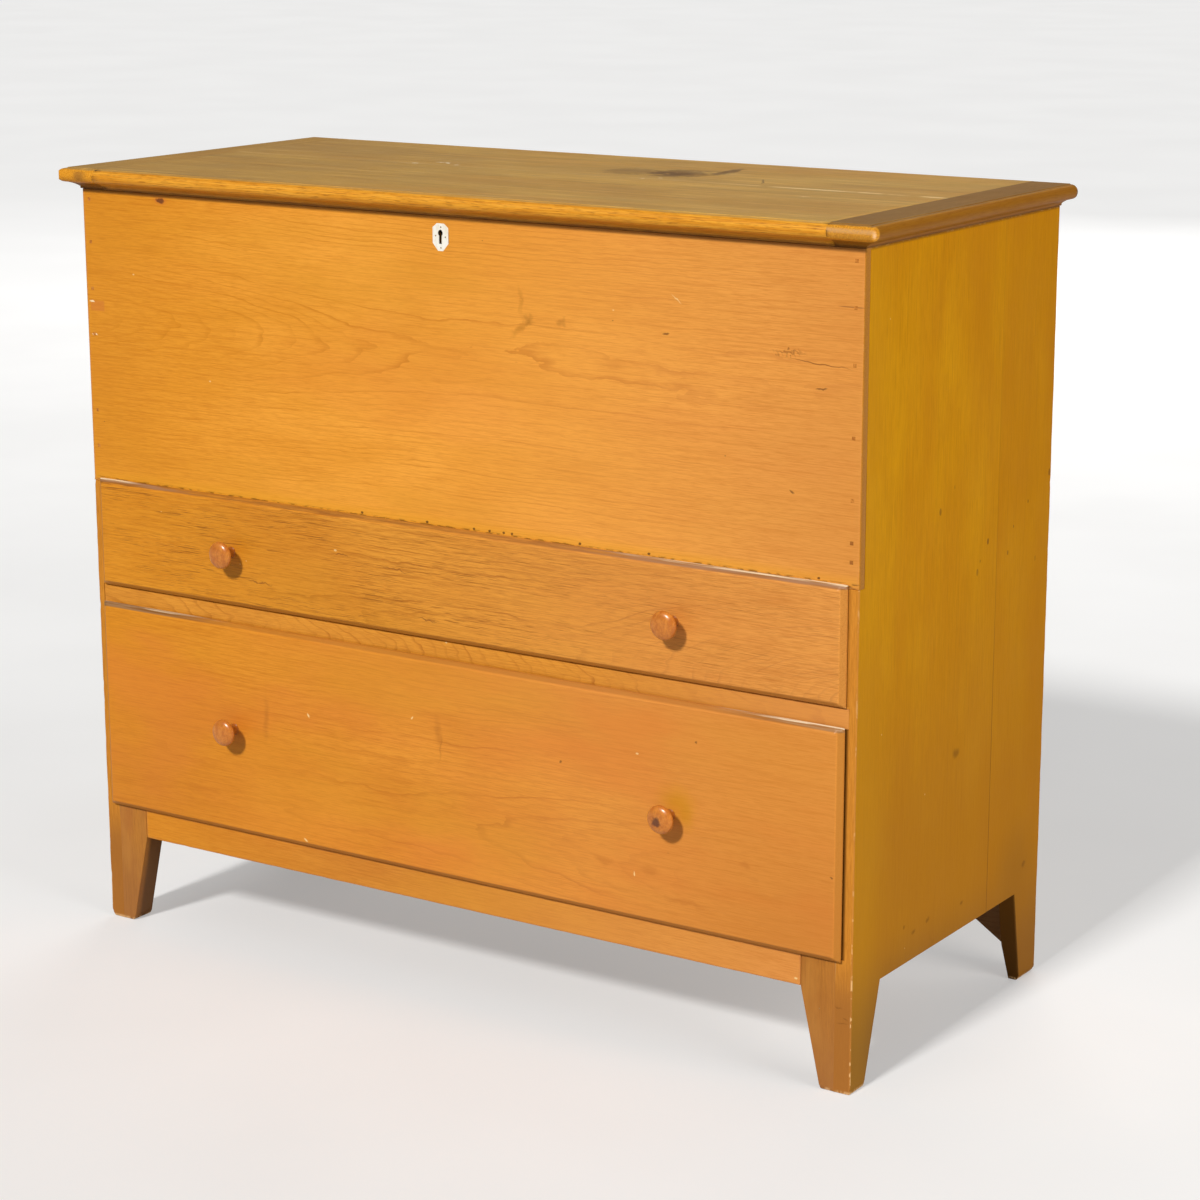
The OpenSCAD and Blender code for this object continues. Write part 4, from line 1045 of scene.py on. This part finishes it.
for side in ("left", "right"):
    wood_of["front_foot_block_" + side] = foot_blocks
    wood_of["rear_bracket_" + side] = bracket
    wood_of[f"side_{side}_front_board"] = side_wood(f"side_{side}_front_board", 2.0)
    wood_of[f"side_{side}_rear_board"] = side_wood(f"side_{side}_rear_board", 3.0)
    wood_of["upper_runner_" + side] = bare_deep
    wood_of["lower_runner_" + side] = bare_deep
    for drawer in ("upper", "lower"):
        wood_of[f"{drawer}_drawer_side_{side}"] = bare_deep
for drawer in ("upper", "lower"):
    wood_of[drawer + "_drawer_back"] = bare_across
    wood_of[drawer + "_drawer_bottom"] = bare_flat

inner_faces = [(0, -side_inner), (0, side_inner)]
side_joints = [(1, side_joint), *inner_faces]
lid_joints = [(0, -cleat_joint), (0, cleat_joint), (1, board_joint)]
face_nodes = ("front_board", "upper_drawer_front", "lower_drawer_front", "drawer_rail", "bottom_rail")
for node, material in wood_of.items():
    if node.startswith("lid"):
        worn_copy(node, material, bevel=0.0006, wear=0.0002, step=0.016, skip=lid_joints)
    elif node.startswith("side"):
        worn_copy(node, material, bevel=0.0012, wear=0.0004, chips=0.0016, step=0.007, skip=side_joints)
    elif node in face_nodes:
        worn_copy(node, material, bevel=0.0009, wear=0.0003, chips=0.001, step=0.007)
    elif node.startswith("front_foot"):
        worn_copy(node, material, skip=inner_faces)
    else:
        worn_copy(node, material)


knob_length, knob_radius = 0.0255, 0.016


def quarter(steps):
    """The angles of a quarter turn, without its start."""
    return [math.radians(90 * i / steps) for i in range(1, steps + 1)]


def knob_outline():
    """Half outline of a knob in mm, from its tenon's end: how far in front of the drawer, and radius."""
    length, most = knob_length * 1000, knob_radius * 1000
    tenon, tenon_r, tip = 22.0, 5.0, 0.6
    foot, foot_to, round_off = 6.8, 1.2, 0.25
    neck, neck_at, rim_at, bluntness = 5.8, 7.0, length - 6.4, 0.66
    points = [(-tenon, 0.0), (-tenon, tenon_r - tip), (tip - tenon, tenon_r), (0.0, tenon_r)]
    points += [(0.0, foot - round_off), (round_off, foot), (foot_to, foot)]
    for a in quarter(8):
        points.append((foot_to + (neck_at - foot_to) * (1 - math.cos(a)), foot + (neck - foot) * math.sin(a)))
    for a in quarter(12):
        points.append((neck_at + (rim_at - neck_at) * math.sin(a), neck + (most - neck) * (1 - math.cos(a))))
    for a in quarter(18):
        points.append((rim_at + (length - rim_at) * math.sin(a), most * max(0.0, math.cos(a)) ** bluntness))
    return points


def knob_ring(bm, centre, ahead, radius, count):
    """A ring of points around the knob's axis, a little uneven, or one point where the radius is nil."""
    if radius < 1e-5:
        return [bm.verts.new((centre.x, centre.y - ahead, centre.z))]
    ring = []
    for i in range(count):
        x, z = math.cos(math.tau * i / count), math.sin(math.tau * i / count)
        uneven = 1 + 0.006 * noise.noise(Vector((x * 2, z * 2, ahead * 90 + centre.x * 7)))
        if radius > knob_radius - 0.0001:
            uneven = min(uneven, 1.0)
        r = radius * uneven
        ring.append(bm.verts.new((centre.x + r * x, centre.y - ahead, centre.z + r * z)))
    return ring


def turned_knob(node, material, centre):
    bm = bmesh.new()
    count = 72
    rings = [knob_ring(bm, centre, d / 1000, r / 1000, count) for d, r in knob_outline()]
    for a, b in zip(rings, rings[1:]):
        for i in range(count):
            j = (i + 1) % count
            corners = [a[i % len(a)], a[j % len(a)], b[j % len(b)], b[i % len(b)]]
            bm.faces.new(list(dict.fromkeys(corners)))
    bmesh.ops.recalc_face_normals(bm, faces=bm.faces)
    piece = add_piece("turned_" + node, bm, node, node_body[node])
    piece.data.materials.append(material)


for drawer in ("upper", "lower"):
    for side in ("left", "right"):
        node = f"{drawer}_knob_{side}"
        low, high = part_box(node)
        centre = Vector(((low.x + high.x) / 2, low.y + knob_length, (low.z + high.z) / 2))
        turned_knob(node, turned_wood(node + "_wood", centre, node == "lower_knob_right"), centre)

worn_copy("escutcheon", bone_paint(), bevel=0.0005, step=0, least=0.004)

metal_of = {"iron": iron, "brass": brass}
for node in frame["nodes"]:
    if node in wood_of or "knob" in node or node == "escutcheon":
        continue
    material = putty if node == "front_nails" else metal_of[node_slot[node]]
    for held in frame["nodes"][node].material_slots:
        held.material = material


# Floor, light and camera


def floor_paint():
    """Pale and matt, and brightened for the camera alone so that it meets the background softly."""
    paint = Paint("floor")
    cloud = paint.noise(paint.at(1.5, 1.5, 1.5), 3)
    paint.colour = paint.mix(paint.smooth(cloud, 0.3, 0.7), (204, 203, 201), (198, 197, 195))
    seen = Num(paint.node("ShaderNodeLightPath").outputs["Is Camera Ray"])
    far_off = (paint.x * paint.x + paint.y * paint.y).math("SQRT")
    paint.shader.inputs["Emission Color"].default_value = (1, 1, 1, 1)
    feed(paint.shader.inputs["Emission Strength"], seen * paint.smooth(far_off, 1.5, 8.0, 0.33, 0.46))
    return paint.done(0.85, gloss=0.2)


def make_floor():
    bm = bmesh.new()
    bmesh.ops.create_grid(bm, x_segments=8, y_segments=8, size=60)
    floor = link_new("floor", mesh_from("floor", bm))
    floor.data.materials.append(floor_paint())
    floor.location.z = -0.0002
    floor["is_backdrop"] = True


def make_world():
    """A dim white world that the camera sees as a pale background."""
    world = bpy.data.worlds.new("world")
    bpy.context.scene.world = world
    world.use_nodes = True
    background = world.node_tree.nodes["Background"]
    background.inputs["Color"].default_value = (1, 1, 1, 1)
    rays = world.node_tree.nodes.new("ShaderNodeLightPath").outputs
    feed(background.inputs["Strength"], Num(rays["Is Camera Ray"]) * 0.77 + 0.15)


def point_lamp_at(lamp, direction):
    lamp.rotation_mode = "QUATERNION"
    lamp.rotation_quaternion = direction.to_track_quat("-Z", "Y")


def soft_lamp(name, place, size, level):
    """A square lamp that lights a surface facing it to that level, where 1 renders a colour as written."""
    to_chest = Vector((0, 0, 0.45)) - Vector(place)
    data = bpy.data.lights.new(name, "AREA")
    data.shape, data.size, data.size_y = "RECTANGLE", size, size
    data.energy = level * (math.pi * to_chest.length) ** 2
    lamp = link_new(name, data)
    lamp.location = place
    lamp.visible_glossy = False
    point_lamp_at(lamp, to_chest)


def key_lamp(direction, level, spread):
    data = bpy.data.lights.new("key", "SUN")
    data.energy, data.angle = level * math.pi, math.radians(spread)
    point_lamp_at(link_new("key", data), Vector(direction))


def make_camera(place, yaw, pitch, roll):
    """The photograph's camera, solved from the case's edges; the angles are in radians."""
    data = bpy.data.cameras.new("camera")
    data.lens, data.sensor_width, data.sensor_fit = 91.557, 36.0, "HORIZONTAL"
    data.clip_start, data.clip_end = 0.05, 60
    camera = link_new("camera", data)
    camera.location = place
    turn = Matrix.Rotation(yaw, 3, "Z") @ Matrix.Rotation(math.pi / 2 - pitch, 3, "X")
    camera.rotation_euler = (turn @ Matrix.Rotation(roll, 3, "Z")).to_euler()
    bpy.context.scene.camera = camera


make_floor()
make_world()
soft_lamp("side_fill", (4.6, -0.6, 1.7), size=2.4, level=0.455)
soft_lamp("back_fill", (-2.0, 6.0, 3.4), size=4.0, level=0.34)
key_lamp((0.04, 1.0, -0.77), level=0.85, spread=7)
make_camera((1.9591, -2.87065, 1.2773), yaw=0.58295, pitch=0.23975, roll=-0.00154)
bpy.context.scene.view_settings.view_transform = "Standard"

low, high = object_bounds()
